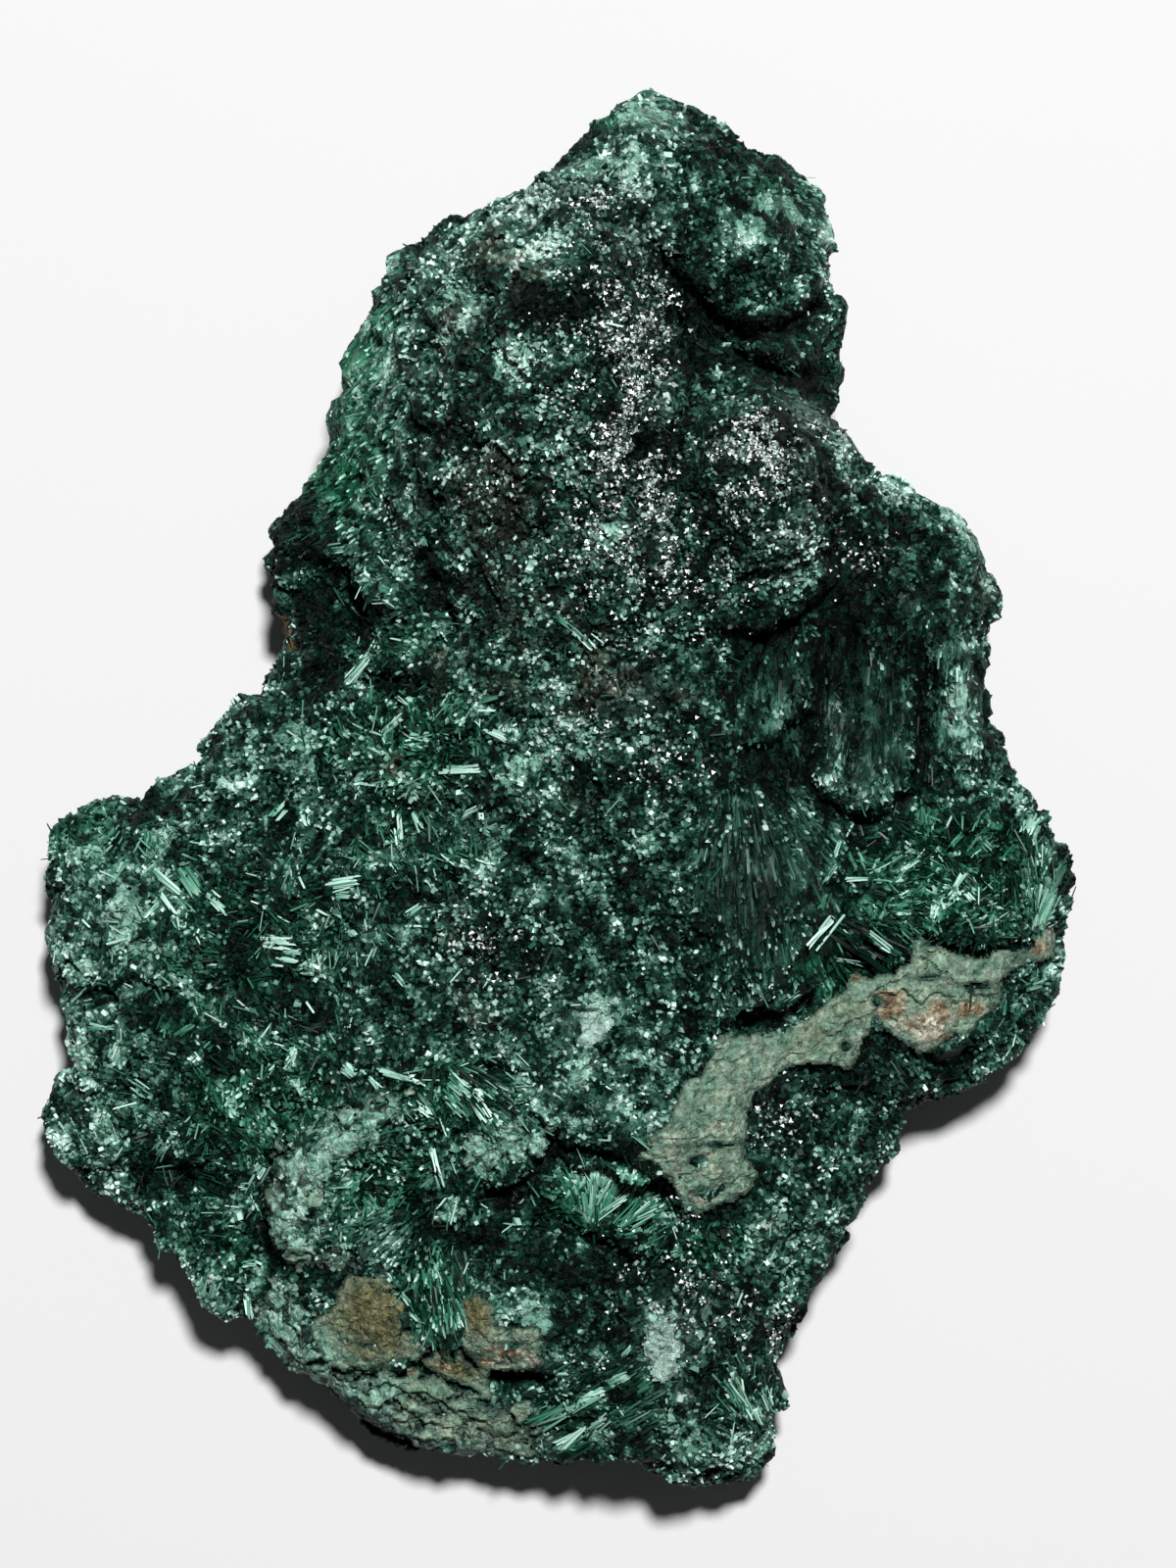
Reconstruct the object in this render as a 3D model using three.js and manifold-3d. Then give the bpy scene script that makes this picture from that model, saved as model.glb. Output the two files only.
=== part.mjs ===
// A hand specimen of fibrous malachite, lying on the face it rests on.
// The real thing grew as one fused mass of packed fibres: a high ridge with a dome beside it, a long slope,
// fluted columns, sprays of coarse needles, hollows between the lobes, and scabs of weathered rind.
// It is modelled as one solid. Units are millimetres, +Z is up, and the origin is at the middle of the base.

import * as THREE from "three";
import { MarchingCubes } from "three/addons/objects/MarchingCubes.js";
import { mergeVertices } from "three/addons/utils/BufferGeometryUtils.js";
import Module from "manifold-3d";

// Driving dimensions
const LENGTH = 120; // along Y, from the toe to the crown
const CELL = 2.9; // side of the grid cells that the mass is traced on
const CELL_HEIGHT = 3.2;
const LOWEST = -6; // heights between which the mass is traced
const HIGHEST = 52;
const CORNER_GAP = 0.64; // least distance from the skin to a grid corner, so that no sliver forms
const RELAX_ROUNDS = 4; // times that the traced triangles are evened out
const RELAX_HOLD = 0.4; // how much of its own place a vertex keeps in each round
const RELAX_STEP = 0.8; // farthest that a round moves a vertex back to the skin
const SPOT_SPREAD = 4.2; // how far each spot height reaches
const SHOULDER = 4.5; // radius that rounds the mass into its outline
const UNDERCUT = 4.5; // how far the foot of the side lies inside the outline
const UNDERCUT_HEIGHT = 9; // height above which the side is no longer undercut
const LEAN = 0.2; // how far the side leans in for each millimetre above LEAN_HEIGHT
const LEAN_HEIGHT = 13;
const KNOB_PITCH = 6.8; // spacing of the rounded knobs all over the skin
const KNOB_HEIGHT = 2.2;
const RIND_THICKNESS = 1;
const CREVICE_RIM = 2; // how far a crevice is cut above the skin, so that it always opens
const CREVICE_END = 0.4; // width and depth at a crevice's ends, as a share of those at its middle
const COLUMN_SIDES = 8;
const COLUMN_DEPTH = 2.2; // a column's depth for each millimetre of its half width
const COLUMN_ROUGHNESS = 0.2; // how far a column's corners stray, as a share of its half width
const NEEDLE_SIDES = 4;
const NEEDLE_ROOT = 1.6; // how deep a needle's foot is set in the mass
const NEEDLE_TIP = 0.35; // width of a needle's tip as a share of its foot
const CUT_DEPTH = 30; // thickness of the blocks that trim the base

// The outline seen from above, clockwise from the crown
const OUTLINE = [
  [7, 60], [11, 59.6], [14.8, 57], [16.2, 55.2], [19.5, 54.4], [23, 51.4], [24.3, 47.5], [23.6, 44.3],
  [24.8, 41], [24.5, 37.5], [25, 35], [23.3, 33.4], [25.3, 30.6], [27.3, 27], [31, 26.8], [32.5, 24.9],
  [34.8, 24.8], [37.4, 20.8], [37.9, 17.8], [36.8, 11.5], [38.1, 7.5], [38.4, 3.2], [41.5, -0.5], [43.6, -2],
  [44.3, -6], [44, -11], [44.7, -13.8], [42.3, -18.5], [40.6, -22], [37.5, -24.7], [33, -25], [29.2, -26.4],
  [30.2, -30.2], [27.8, -33], [25.5, -38], [22, -42.2], [20.1, -46.5], [20.7, -51.8], [18.6, -55.8],
  [16.6, -59], [12.8, -59.6], [9.2, -58.2], [6.5, -56.4], [1, -57], [-7, -57], [-13, -56], [-17.6, -53.2],
  [-19.5, -50.8], [-23, -47.6], [-25, -44], [-28.5, -45.4], [-31, -42], [-32.3, -38.6], [-35.5, -35.5],
  [-41, -32.3], [-43.9, -28.3], [-43, -25.4], [-41.7, -24.6], [-42.5, -22], [-41.3, -19], [-42, -15.5],
  [-43.7, -11], [-42.8, -7], [-44.2, -5], [-43, -2.2], [-40, 0], [-33.5, 0], [-29.4, 2.3], [-29.3, 5],
  [-27.3, 8.2], [-23.6, 9.9], [-22.3, 14], [-23.2, 17.8], [-25, 20], [-23.2, 23.5], [-21.4, 25.5],
  [-19.3, 28.2], [-17.9, 33], [-17.2, 38.5], [-14.4, 43.6], [-12.4, 46.6], [-8.4, 48.8], [-4.4, 50.8],
  [-0.6, 52.8], [1.8, 54.6], [3.8, 57.6],
];

// Spot heights of the upper surface
const SPOT_HEIGHTS = [
  // crown
  [8, 57, 21], [3, 54, 25], [10, 51, 27], [16, 50, 25], [21, 48, 21], [16, 44, 25], [22, 44, 18],
  [12, 42, 22], [18, 38, 19], [23, 38, 16], [24, 34, 15],
  // ridge, along its crest and down its west flank
  [0, 50, 35], [5, 46, 39], [7, 40, 42], [7, 33, 44], [6, 26, 41], [5, 19, 37],
  [-6, 47, 30], [-1, 42, 40], [-1, 34, 41], [-1, 26, 39], [-1, 18, 35],
  [-12, 43, 25], [-7, 38, 36], [-8, 30, 35], [-8, 22, 31], [-14, 36, 25], [-15, 28, 22], [-17, 40, 15],
  [-18, 32, 15], [-20, 24, 13], [-24, 20, 12], [-15, 21, 19], [-16, 15, 12], [-21, 13, 13], [-9, 15, 27],
  // dome beside the ridge
  [12, 38, 24], [12.5, 32, 29], [12.5, 25, 33], [18, 26, 38], [22, 28, 34], [18, 19, 34], [20, 33, 31],
  [25, 29, 24],
  // long slope that runs down from the ridge
  [13, 12, 32], [19, 12, 22], [6, 10, 34], [0, 9, 33], [-6, 6, 29], [-12, 7, 24], [-18, 8, 18], [-26, 5, 15],
  [-22, 1, 20], [-16, -1, 21], [-9, -2, 26], [-2, -2, 29], [5, -1, 31], [11, 1, 33],
  // mass with fanned fibres
  [16, -2, 32], [21, -4, 28], [14, -10, 30], [18, -14, 25], [22, -9, 26], [23, -17, 15], [8, -9, 30],
  // lower slope and the west lobe
  [1, -10, 28], [-6, -10, 25], [-13, -9, 22], [-20, -8, 20], [-27, -6, 19], [-34, -5, 16], [-41, -6, 12],
  [-39, -13, 13], [-32, -13, 18], [-25, -15, 20], [-18, -16, 21], [-10, -17, 23], [-3, -18, 26], [4, -18, 28],
  [10, -18, 27], [-39, -21, 12], [-32, -21, 16], [-25, -22, 18], [-18, -23, 19], [-10, -23, 22],
  [-4, -26, 25], [3, -26, 26], [9, -25, 26], [-38, -29, 11], [-31, -29, 13], [-24, -30, 16],
  [-11, -29, 19], [-5, -31, 21], [1, -31, 21], [-27, -36, 12], [-29, -42, 11], [-23, -40, 12], [-17, -37, 20], [-11, -37, 18],
  // south end
  [-5, -40, 20], [2, -40, 19], [8, -40, 21], [14, -38, 20], [-12, -43, 20], [-19, -45, 15], [-5, -46, 19],
  [3, -46, 20], [10, -46, 20], [17, -46, 13], [-12, -50, 14], [-18, -50, 10], [-5, -52, 13], [2, -52, 14],
  [9, -52, 17], [15, -53, 13], [16, -57, 10], [-8, -55, 9],
  // east side
  [17, -22, 23], [15, -30, 22], [21, -28, 19], [26, -26, 14], [27, -31, 12], [21, -35, 16], [23, -39, 11],
  [28, -4, 15], [34, -3, 16], [41, -5, 14], [27, -10, 17], [34, -10, 20], [41, -11, 15], [28, -16, 20],
  [35, -16, 20], [41, -17, 12], [31, -21, 17], [37, -22, 11],
  // columns
  [24, 22, 25], [28, 17, 23], [30, 23, 22], [31, 11, 21], [35, 20, 17], [35, 11, 18], [25, 10, 22],
  [27, 3, 20], [33, 3, 18], [37, 6, 13], [19, 5, 25],
];

// Lobes that stand out of that surface: centre, half sizes, turn about Z in degrees, and how softly each
// runs into the rest
const lobe = (name, at, half, turn = 0, blend = 1.6) => ({ name, at, half, turn, blend });
const LOBES = [
  lobe("ridge crest", [3.6, 33, 20], [7, 18, 24.5], 10, 3),
  lobe("east dome", [18, 26, 22], [8.6, 9.4, 16.8], 0, 1.5),
  lobe("crown peak", [8.5, 52, 14], [8.6, 8.4, 14.5], 0, 3),
  lobe("crown east", [16.6, 47.4, 13], [7.4, 7, 13.4], 0, 1.5),
  lobe("crown block", [20.4, 38.4, 10], [5.2, 3.6, 9.8], -20, 1),
  lobe("west knob low", [-21.8, 20.5, 9], [3.8, 3.3, 6.5], 0, 1),
  lobe("west knob high", [-19.4, 26.5, 11], [3.2, 3.2, 7.5], 0, 1),
  lobe("west shoulder", [-23.5, 3.5, 11], [6.6, 6.3, 8.5], 0, 1.5),
  lobe("west corner", [-38.3, -5.6, 8], [5.6, 5.4, 7.4], 0, 1),
  lobe("west edge upper", [-39.2, -12.4, 7.5], [4.6, 4, 7], 0, 1),
  lobe("west edge lower", [-38.8, -20, 7], [4, 3.8, 7], 0, 1),
  lobe("southwest corner", [-38, -28.5, 6.5], [6.2, 4.8, 7.5], 20, 1),
  lobe("southwest knob", [-28.3, -40.6, 7], [4.2, 4.8, 6.5], 0, 1),
  lobe("arm head", [-14.4, -26.8, 18], [2.6, 2.4, 4.6], 0, 1),
  lobe("arm", [-18.6, -29.6, 16.5], [2.6, 4.8, 6], -48, 1),
  lobe("arm foot", [-21.6, -34.8, 13.5], [2.9, 4.2, 6.2], -8, 1),
  lobe("rim by the alcove", [-3.4, -29.6, 17.5], [4.4, 2, 5], 12, 1),
  lobe("south toe", [13, -54.4, 8], [7, 5, 8], 0, 1),
  lobe("fan", [16, -7, 21], [7.6, 11, 12], 20, 1),
  lobe("ledge", [-6.5, -25.5, 18.5], [7.5, 3.4, 7.2], -18, 1.5),
  lobe("column block", [30, 17, 12], [7.6, 9, 10], 0, 1),
  lobe("hanging mass", [18.8, 9.2, 15], [3.6, 5.4, 10.6], -12, 0.8),
  lobe("edge knob upper", [35.2, 21, 13.5], [2.9, 3.8, 8.5], 0, 0.8),
  lobe("edge knob middle", [35.9, 15.4, 12], [2.2, 2.8, 7.8], 0, 0.8),
];

// Fluted columns below the dome: upper end, lower end, half width, and how far each end stands above the skin
const column = (name, from, to, half, rise) => ({ name, from, to, half, rise });
const COLUMNS = [
  column("first", [23.6, 15.4], [23.5, 0.2], 1.6, [0.8, 2]),
  column("second", [27.8, 13.4], [27.4, -1.6], 2.8, [0.8, 2.6]),
  column("third", [33.4, 14.6], [35.2, 2.4], 2.1, [0.8, 2]),
];

// Crevices and pockets in the skin: a line along each, half its width and its depth, and the width of its
// floor as a share of its mouth
const crevice = (name, line, half, depth, floor = 0.4) => ({ name, line, half, depth, floor });
const CREVICES = [
  crevice("under the crown", [[10.8, 43], [13.4, 40.4], [16.8, 39.2], [19.8, 40], [21.4, 41.8]], 0.9, 5),
  crevice("ridge step", [[9.6, 44], [10.8, 40], [11.9, 36.8], [11.2, 33.2]], 1.2, 6),
  crevice("under the plate", [[16.6, 36.8], [19.8, 35.4], [22.6, 36.2]], 0.8, 3.5),
  crevice("under the dome", [[15, 13], [18, 13.2], [20.6, 14.8], [22.4, 16.4]], 1, 6),
  crevice("under the hanging mass", [[15.8, 3.2], [18.2, 3.7], [20.4, 5.2], [22, 7]], 0.9, 4.5),
  crevice("between the columns", [[30.8, 2.6], [30.9, 7], [31, 11]], 0.9, 4),
  crevice("west hollow", [[-17.8, 18.4], [-16.2, 15.2], [-16.6, 11.4]], 1.8, 7),
  crevice("needle gap", [[22.4, -11.8], [25.6, -13.2], [29.8, -14.8]], 1.4, 4.5),
  crevice("south pit", [[-11, -35.9], [-8.8, -36.9], [-6, -38.4]], 1.1, 6),
  crevice("beside the alcove", [[-5.2, -34.2], [-2.6, -33.4], [-0.8, -31]], 0.9, 4.5),
  crevice("alcove", [[0, -30.8], [3.6, -32.8], [7.4, -34], [10.6, -36]], 3, 4.5, 0.7),
  crevice("inside the arm", [[-18, -33.2], [-15.4, -30.9], [-12.2, -30.2]], 1.4, 3.5),
  crevice("southwest notch", [[-25.6, -35.4], [-24, -39.4], [-25, -43.4]], 1.1, 5.5),
  crevice("over the strip", [[-16, -49.2], [-8, -49.5], [-1, -50.2]], 0.8, 3.5),
];

// Weathered rind that stands proud of the fibres, by its outlines from above
const RIND_PATCHES = [
  [ // the band that crosses the east side
    [31.3, -12.1], [36, -13.9], [40.6, -12.6], [43.6, -11.2], [43.4, -13.6], [38.4, -14.4], [37.9, -17],
    [34.8, -20.4], [32, -21.4], [28.2, -19.2], [26.6, -18.6], [25.4, -22.6], [19.5, -22.2], [17.2, -24.8],
    [17, -31.5], [13.4, -34.8], [10.4, -32.4], [8, -30], [9.6, -26.4], [13.6, -21.6], [18, -20],
    [22.4, -17.6], [25, -14.8], [28.8, -15.2],
  ],
  [ // the olive scab on the south side
    [-17.6, -40.8], [-14, -40.6], [-12.4, -43.6], [-10.8, -46.8], [-13.4, -48.6], [-18, -48.2],
    [-20, -45.4], [-22.6, -42.4],
  ],
  [ // the tan scab beside it
    [-7.4, -42.4], [-3, -42.2], [-0.4, -44.6], [-1.2, -47.8], [-4.6, -48.2], [-8, -46.4],
  ],
  [ // the layered strip along the south edge
    [-21.6, -49], [-14, -50.2], [-8, -51], [-2, -50.6], [-2.6, -56.6], [-10, -56.8], [-16.6, -53.4],
  ],
];

// Broken faces round the base, where it was trimmed: a point on the table where the face starts,
// the compass heading it climbs towards, and its slope in degrees
const BASE_BREAKS = [
  [-33, -10, 174, 26], [-27, -29, 222, 27], [-14, -47, 258, 20], [10, -50, 288, 24], [22, -33, 332, 22],
  [35, -9, 2, 22], [28, 19, 30, 30], [13, 48, 72, 20], [-8, 41, 128, 28], [-17, 18, 158, 22],
];

// Coarse needle sprays: root, compass heading and rise in degrees, fan width, needle count, length, width,
// and how deep the root lies below the skin
const spray = (at, heading, rise, fan, count, length, width, sink = 0.4) => ({
  at, heading, rise, fan, count, length, width, sink,
});
const SPRAYS = [
  spray([4.8, -36], 88, 22, 120, 9, 5.6, 1.2, 4.4),
  spray([-9.4, -23.6], -38, 16, 50, 6, 5.2, 1),
  spray([-11, -24.6], -26, 24, 12, 2, 4.2, 1.2),
  spray([21.8, -13], 52, 30, 10, 2, 5, 1.2),
  spray([24.6, -10.8], -34, 12, 24, 4, 5.6, 1.3),
  spray([19.6, -13.4], -58, 14, 20, 3, 5.4, 1.2),
  spray([40.8, -11], 72, 28, 26, 4, 5.4, 1),
  spray([33.4, -9], 70, 40, 170, 7, 4, 0.9),
  spray([-14.6, 5], 36, 30, 20, 3, 4, 1.1),
  spray([-12.6, -4], 84, 34, 26, 4, 4.4, 0.9),
  spray([-23.6, -12.2], -8, 22, 14, 5, 5, 0.9),
  spray([-24.6, -20.8], 56, 40, 20, 2, 3.8, 0.9),
  spray([-9, 2.2], 4, 20, 16, 3, 4.6, 1),
  spray([-7.4, -2.2], 32, 20, 16, 3, 4, 0.9),
  spray([-27, -33.4], 66, 30, 50, 4, 4.4, 0.9),
  spray([16.4, -50.6], -66, 24, 22, 4, 4.4, 0.9),
  spray([1.4, -53.6], 27, 12, 10, 4, 7.4, 1.1),
  spray([-8.6, -33], 108, 26, 50, 5, 4.4, 1),
  spray([-13.4, 19.4], -20, 20, 16, 3, 4, 1),
  spray([27.4, -4], -70, 30, 160, 5, 4, 0.9),
];

const wasm = await Module();
wasm.setup();

// Smooth minimum and maximum of two distances
function smoothMin(a, b, width) {
  const overlap = Math.max(width - Math.abs(a - b), 0) / width;
  return Math.min(a, b) - (overlap * overlap * width) / 4;
}
const smoothMax = (a, b, width) => -smoothMin(-a, -b, width);

// Nearly the distance from a point to an ellipsoid that is turned about Z, negative inside
const lobes = LOBES.map((form) => {
  const angle = THREE.MathUtils.degToRad(form.turn);
  return { ...form, cos: Math.cos(angle), sin: Math.sin(angle) };
});
function ellipsoidDistance({ at, half, cos, sin }, x, y, z) {
  const dx = x - at[0];
  const dy = y - at[1];
  const px = (dx * cos + dy * sin) / half[0];
  const py = (dy * cos - dx * sin) / half[1];
  const pz = (z - at[2]) / half[2];
  const reach = Math.hypot(px, py, pz);
  const slope = Math.hypot(px / half[0], py / half[1], pz / half[2]);
  return slope < 1e-9 ? -Math.min(...half) : (reach * (reach - 1)) / slope;
}

// Signed distance to a closed outline in the XY plane, negative inside
function outlineDistance(points, x, y) {
  let nearest = Infinity;
  let inside = false;
  for (let i = 0, j = points.length - 1; i < points.length; j = i++) {
    const [ax, ay] = points[j];
    const [bx, by] = points[i];
    const ex = bx - ax;
    const ey = by - ay;
    const along = THREE.MathUtils.clamp(((x - ax) * ex + (y - ay) * ey) / (ex * ex + ey * ey), 0, 1);
    nearest = Math.min(nearest, Math.hypot(x - ax - ex * along, y - ay - ey * along));
    if (ay > y !== by > y && x < ax + ((y - ay) / ey) * ex) inside = !inside;
  }
  return inside ? -nearest : nearest;
}

// Height of the upper surface: the mean of the spot heights, each weighted by its nearness
function surfaceHeight(x, y) {
  let sum = 0;
  let weights = 1e-12;
  for (const [sx, sy, height] of SPOT_HEIGHTS) {
    const away = ((x - sx) ** 2 + (y - sy) ** 2) / (2 * SPOT_SPREAD ** 2);
    const weight = Math.exp(-away);
    sum += weight * height;
    weights += weight;
  }
  return sum / weights;
}

// A repeatable scatter of knob centres, one to a cell, and the dome that the nearest one raises
function scatter(ix, iy, iz, salt) {
  const wave = Math.sin(ix * 127.1 + iy * 311.7 + iz * 74.7 + salt * 53.3) * 43758.5453;
  return wave - Math.floor(wave);
}
function knobs(x, y, z, pitch) {
  const cx = Math.floor(x / pitch);
  const cy = Math.floor(y / pitch);
  const cz = Math.floor(z / pitch);
  let nearest = 9;
  for (let ix = cx - 1; ix <= cx + 1; ix++)
    for (let iy = cy - 1; iy <= cy + 1; iy++)
      for (let iz = cz - 1; iz <= cz + 1; iz++) {
        const dx = x / pitch - ix - scatter(ix, iy, iz, 1);
        const dy = y / pitch - iy - scatter(ix, iy, iz, 2);
        const dz = z / pitch - iz - scatter(ix, iy, iz, 3);
        nearest = Math.min(nearest, dx * dx + dy * dy + dz * dz);
      }
  return 1 - Math.min(nearest, 1);
}

// The mass before its hollows, as a distance: negative inside, zero on the skin
function massDistance(x, y, z) {
  const steepness = 0.75; // turns a difference in height into nearly a distance
  const knob = KNOB_HEIGHT * (knobs(x, y, z, KNOB_PITCH) - 0.5);
  const rind = Math.min(...RIND_PATCHES.map((patch) => outlineDistance(patch, x, y)));
  const bare = THREE.MathUtils.smoothstep(rind, -1, 1); // 0 on the rind, 1 away from it

  let mass = (z - surfaceHeight(x, y)) * steepness;
  for (const form of lobes) mass = smoothMin(mass, ellipsoidDistance(form, x, y, z), form.blend);
  mass -= bare * knob + (1 - bare) * RIND_THICKNESS;

  const low = Math.max(1 - Math.max(z, 0) / UNDERCUT_HEIGHT, 0);
  const inset = UNDERCUT * low * low + LEAN * Math.max(z - LEAN_HEIGHT, 0);
  return smoothMax(mass, outlineDistance(OUTLINE, x, y) + inset - knob / 2, SHOULDER);
}

function massSlope(x, y, z) {
  const step = 0.25;
  return new THREE.Vector3(
    massDistance(x + step, y, z) - massDistance(x - step, y, z),
    massDistance(x, y + step, z) - massDistance(x, y - step, z),
    massDistance(x, y, z + step) - massDistance(x, y, z - step),
  ).divideScalar(2 * step);
}

// Height of the skin over a point, found from above
function skinHeight(x, y) {
  for (let z = 50; z > 2; z -= 0.25) if (massDistance(x, y, z) < 0) return z;
  return 2;
}

// Trace the skin on a grid of cubes
function traceMass() {
  const size = Math.ceil(LENGTH / CELL) + 6;
  const middle = size / 2;
  const lift = (LOWEST + HIGHEST) / 2; // height of the grid's middle
  const cubes = new MarchingCubes(size, new THREE.MeshBasicMaterial(), false, false, 40000);
  cubes.isolation = 0;
  for (let k = 0; k < size; k++)
    for (let j = 0; j < size; j++)
      for (let i = 0; i < size; i++) {
        const z = (k - middle) * CELL_HEIGHT + lift;
        const depth = -massDistance((i - middle) * CELL, (j - middle) * CELL, z);
        const away = Math.max(Math.abs(depth), CORNER_GAP);
        cubes.field[(k * size + j) * size + i] = z < LOWEST || z > HIGHEST || depth < 0 ? -away : away;
      }
  cubes.update();
  const traced = new THREE.BufferGeometry();
  const corners = cubes.positionArray.slice(0, cubes.count * 3);
  traced.setAttribute("position", new THREE.BufferAttribute(corners, 3));
  traced.scale(middle * CELL, middle * CELL, middle * CELL_HEIGHT);
  traced.translate(0, 0, lift);
  return mergeVertices(traced, 0.01);
}

// Even out the triangles: each vertex moves towards its neighbours' mean and then back to the skin
function relax(geometry) {
  const position = geometry.attributes.position;
  const index = geometry.index.array;
  const point = new THREE.Vector3();
  for (let round = 0; round < RELAX_ROUNDS; round++) {
    const sum = new Float32Array(position.count * 3);
    const count = new Float32Array(position.count);
    for (let i = 0; i < index.length; i += 3)
      for (let corner = 0; corner < 3; corner++) {
        const from = index[i + corner];
        const to = index[i + ((corner + 1) % 3)];
        sum[3 * from] += position.getX(to);
        sum[3 * from + 1] += position.getY(to);
        sum[3 * from + 2] += position.getZ(to);
        count[from]++;
      }
    for (let v = 0; v < position.count; v++) {
      point.set(sum[3 * v], sum[3 * v + 1], sum[3 * v + 2]).divideScalar(count[v]);
      point.lerp(new THREE.Vector3().fromBufferAttribute(position, v), RELAX_HOLD);
      const slope = massSlope(point.x, point.y, point.z);
      const miss = THREE.MathUtils.clamp(massDistance(point.x, point.y, point.z), -RELAX_STEP, RELAX_STEP);
      point.addScaledVector(slope, -miss / Math.max(slope.lengthSq(), 0.5));
      position.setXYZ(v, point.x, point.y, point.z);
    }
  }
  return geometry;
}

// A closed geometry as a solid that can be joined and cut, and back
function solidOf(geometry) {
  geometry.deleteAttribute("normal");
  geometry.deleteAttribute("uv");
  const merged = mergeVertices(geometry, 1e-3);
  return new wasm.Manifold(
    new wasm.Mesh({
      numProp: 3,
      vertProperties: new Float32Array(merged.attributes.position.array),
      triVerts: new Uint32Array(merged.index.array),
    }),
  );
}
function geometryOf(solid) {
  const mesh = solid.getMesh();
  const geometry = new THREE.BufferGeometry();
  geometry.setAttribute("position", new THREE.BufferAttribute(mesh.vertProperties, mesh.numProp));
  geometry.setIndex(new THREE.BufferAttribute(mesh.triVerts, 1));
  geometry.computeVertexNormals();
  return geometry;
}

// Move each corner of a unit-sized form a little, the same way wherever two faces meet
function roughen(geometry, salt) {
  const position = geometry.attributes.position;
  for (let v = 0; v < position.count; v++) {
    const corner = [position.getX(v), position.getY(v), position.getZ(v)];
    const [x, y, z] = corner.map((value) => Math.round(value * 100));
    const moved = corner.map((value, axis) => {
      const stray = 2 * scatter(x, y, z, salt + 10 * axis) - 1;
      return value + COLUMN_ROUGHNESS * stray;
    });
    position.setXYZ(v, ...moved);
  }
  return geometry;
}

// A crevice is a trough along its line, widest and deepest in the middle, that narrows to its floor
function creviceSolid({ line, half, depth, floor }) {
  const corners = [];
  line.forEach(([x, y], n) => {
    const [ax, ay] = line[Math.max(n - 1, 0)];
    const [bx, by] = line[Math.min(n + 1, line.length - 1)];
    const left = new THREE.Vector2(ay - by, bx - ax).normalize();
    const share = CREVICE_END + (1 - CREVICE_END) * Math.sin((Math.PI * n) / (line.length - 1));
    const mouth = left.clone().multiplyScalar(half * share);
    const foot = mouth.clone().multiplyScalar(floor);
    const top = skinHeight(x, y) + CREVICE_RIM;
    const bottom = skinHeight(x, y) - depth * share;
    corners.push(x + mouth.x, y + mouth.y, top, x + foot.x, y + foot.y, bottom);
    corners.push(x - foot.x, y - foot.y, bottom, x - mouth.x, y - mouth.y, top);
  });
  const last = 4 * (line.length - 1);
  const faces = [0, 1, 2, 0, 2, 3, last, last + 2, last + 1, last, last + 3, last + 2];
  for (let a = 0; a < last; a++) {
    const b = a % 4 === 3 ? a - 3 : a + 1; // the next corner round the same section
    faces.push(a, a + 4, b, b, a + 4, b + 4);
  }
  const trough = new THREE.BufferGeometry();
  trough.setAttribute("position", new THREE.Float32BufferAttribute(corners, 3));
  trough.setIndex(faces);
  return solidOf(trough);
}

// A column is a rib with rounded ends, set in the skin along its back
function columnSolid({ from, to, half, rise }, salt) {
  const upper = skinHeight(from[0], from[1]) + rise[0];
  const lower = skinHeight(to[0], to[1]) + rise[1];
  const run = new THREE.Vector3(from[0] - to[0], from[1] - to[1], upper - lower);
  const slenderness = run.length() / half - 2;
  const rib = roughen(new THREE.CapsuleGeometry(1, slenderness, 3, COLUMN_SIDES, 3), salt);
  rib.scale(half, half, (half * COLUMN_DEPTH) / 2);
  rib.rotateX(Math.atan2(run.z, run.y)).rotateZ(-Math.atan2(run.x, run.y));
  const height = (upper + lower - COLUMN_DEPTH * half) / 2;
  return solidOf(rib.translate((from[0] + to[0]) / 2, (from[1] + to[1]) / 2, height));
}

// One spray: flat-sided needles with slanting tips that fan out from a shared root
function sprayNeedles({ at, heading, rise, fan, count, length, width, sink }, salt) {
  const root = new THREE.Vector3(at[0], at[1], skinHeight(at[0], at[1]) - sink);
  return Array.from({ length: count }, (_, n) => {
    const share = count > 1 ? n / (count - 1) - 0.5 : 0;
    const turn = THREE.MathUtils.degToRad(heading + fan * share);
    const lift = THREE.MathUtils.degToRad(rise * (0.7 + 0.6 * scatter(n, salt, 0, 5)));
    const reach = length * (0.75 + 0.5 * scatter(n, salt, 0, 6));
    const thick = (width / 2) * (0.8 + 0.4 * scatter(n, salt, 0, 7));
    const whole = reach + NEEDLE_ROOT;
    const needle = new THREE.CylinderGeometry(thick * NEEDLE_TIP, thick, whole, NEEDLE_SIDES, 1);
    needle.rotateY(scatter(n, salt, 0, 8) * Math.PI);
    needle.translate(0, (reach - NEEDLE_ROOT) / 2, 0);
    const along = new THREE.Vector3(
      Math.cos(turn) * Math.cos(lift),
      Math.sin(turn) * Math.cos(lift),
      Math.sin(lift),
    );
    needle.applyQuaternion(new THREE.Quaternion().setFromUnitVectors(new THREE.Vector3(0, 1, 0), along));
    const spacing = (scatter(n, salt, 0, 9) - 0.5) * width;
    needle.translate(root.x - along.y * spacing, root.y + along.x * spacing, root.z + 0.3 * spacing);
    return solidOf(needle);
  });
}

// A block whose top lies in the table, or climbs from it as a broken face does
function blockBelow(x, y, heading, slope) {
  const block = new THREE.BoxGeometry(2 * LENGTH, 2 * LENGTH, CUT_DEPTH).translate(0, 0, -CUT_DEPTH / 2);
  block.rotateY(-THREE.MathUtils.degToRad(slope));
  block.rotateZ(THREE.MathUtils.degToRad(heading));
  return solidOf(block.translate(x, y, 0));
}

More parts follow.
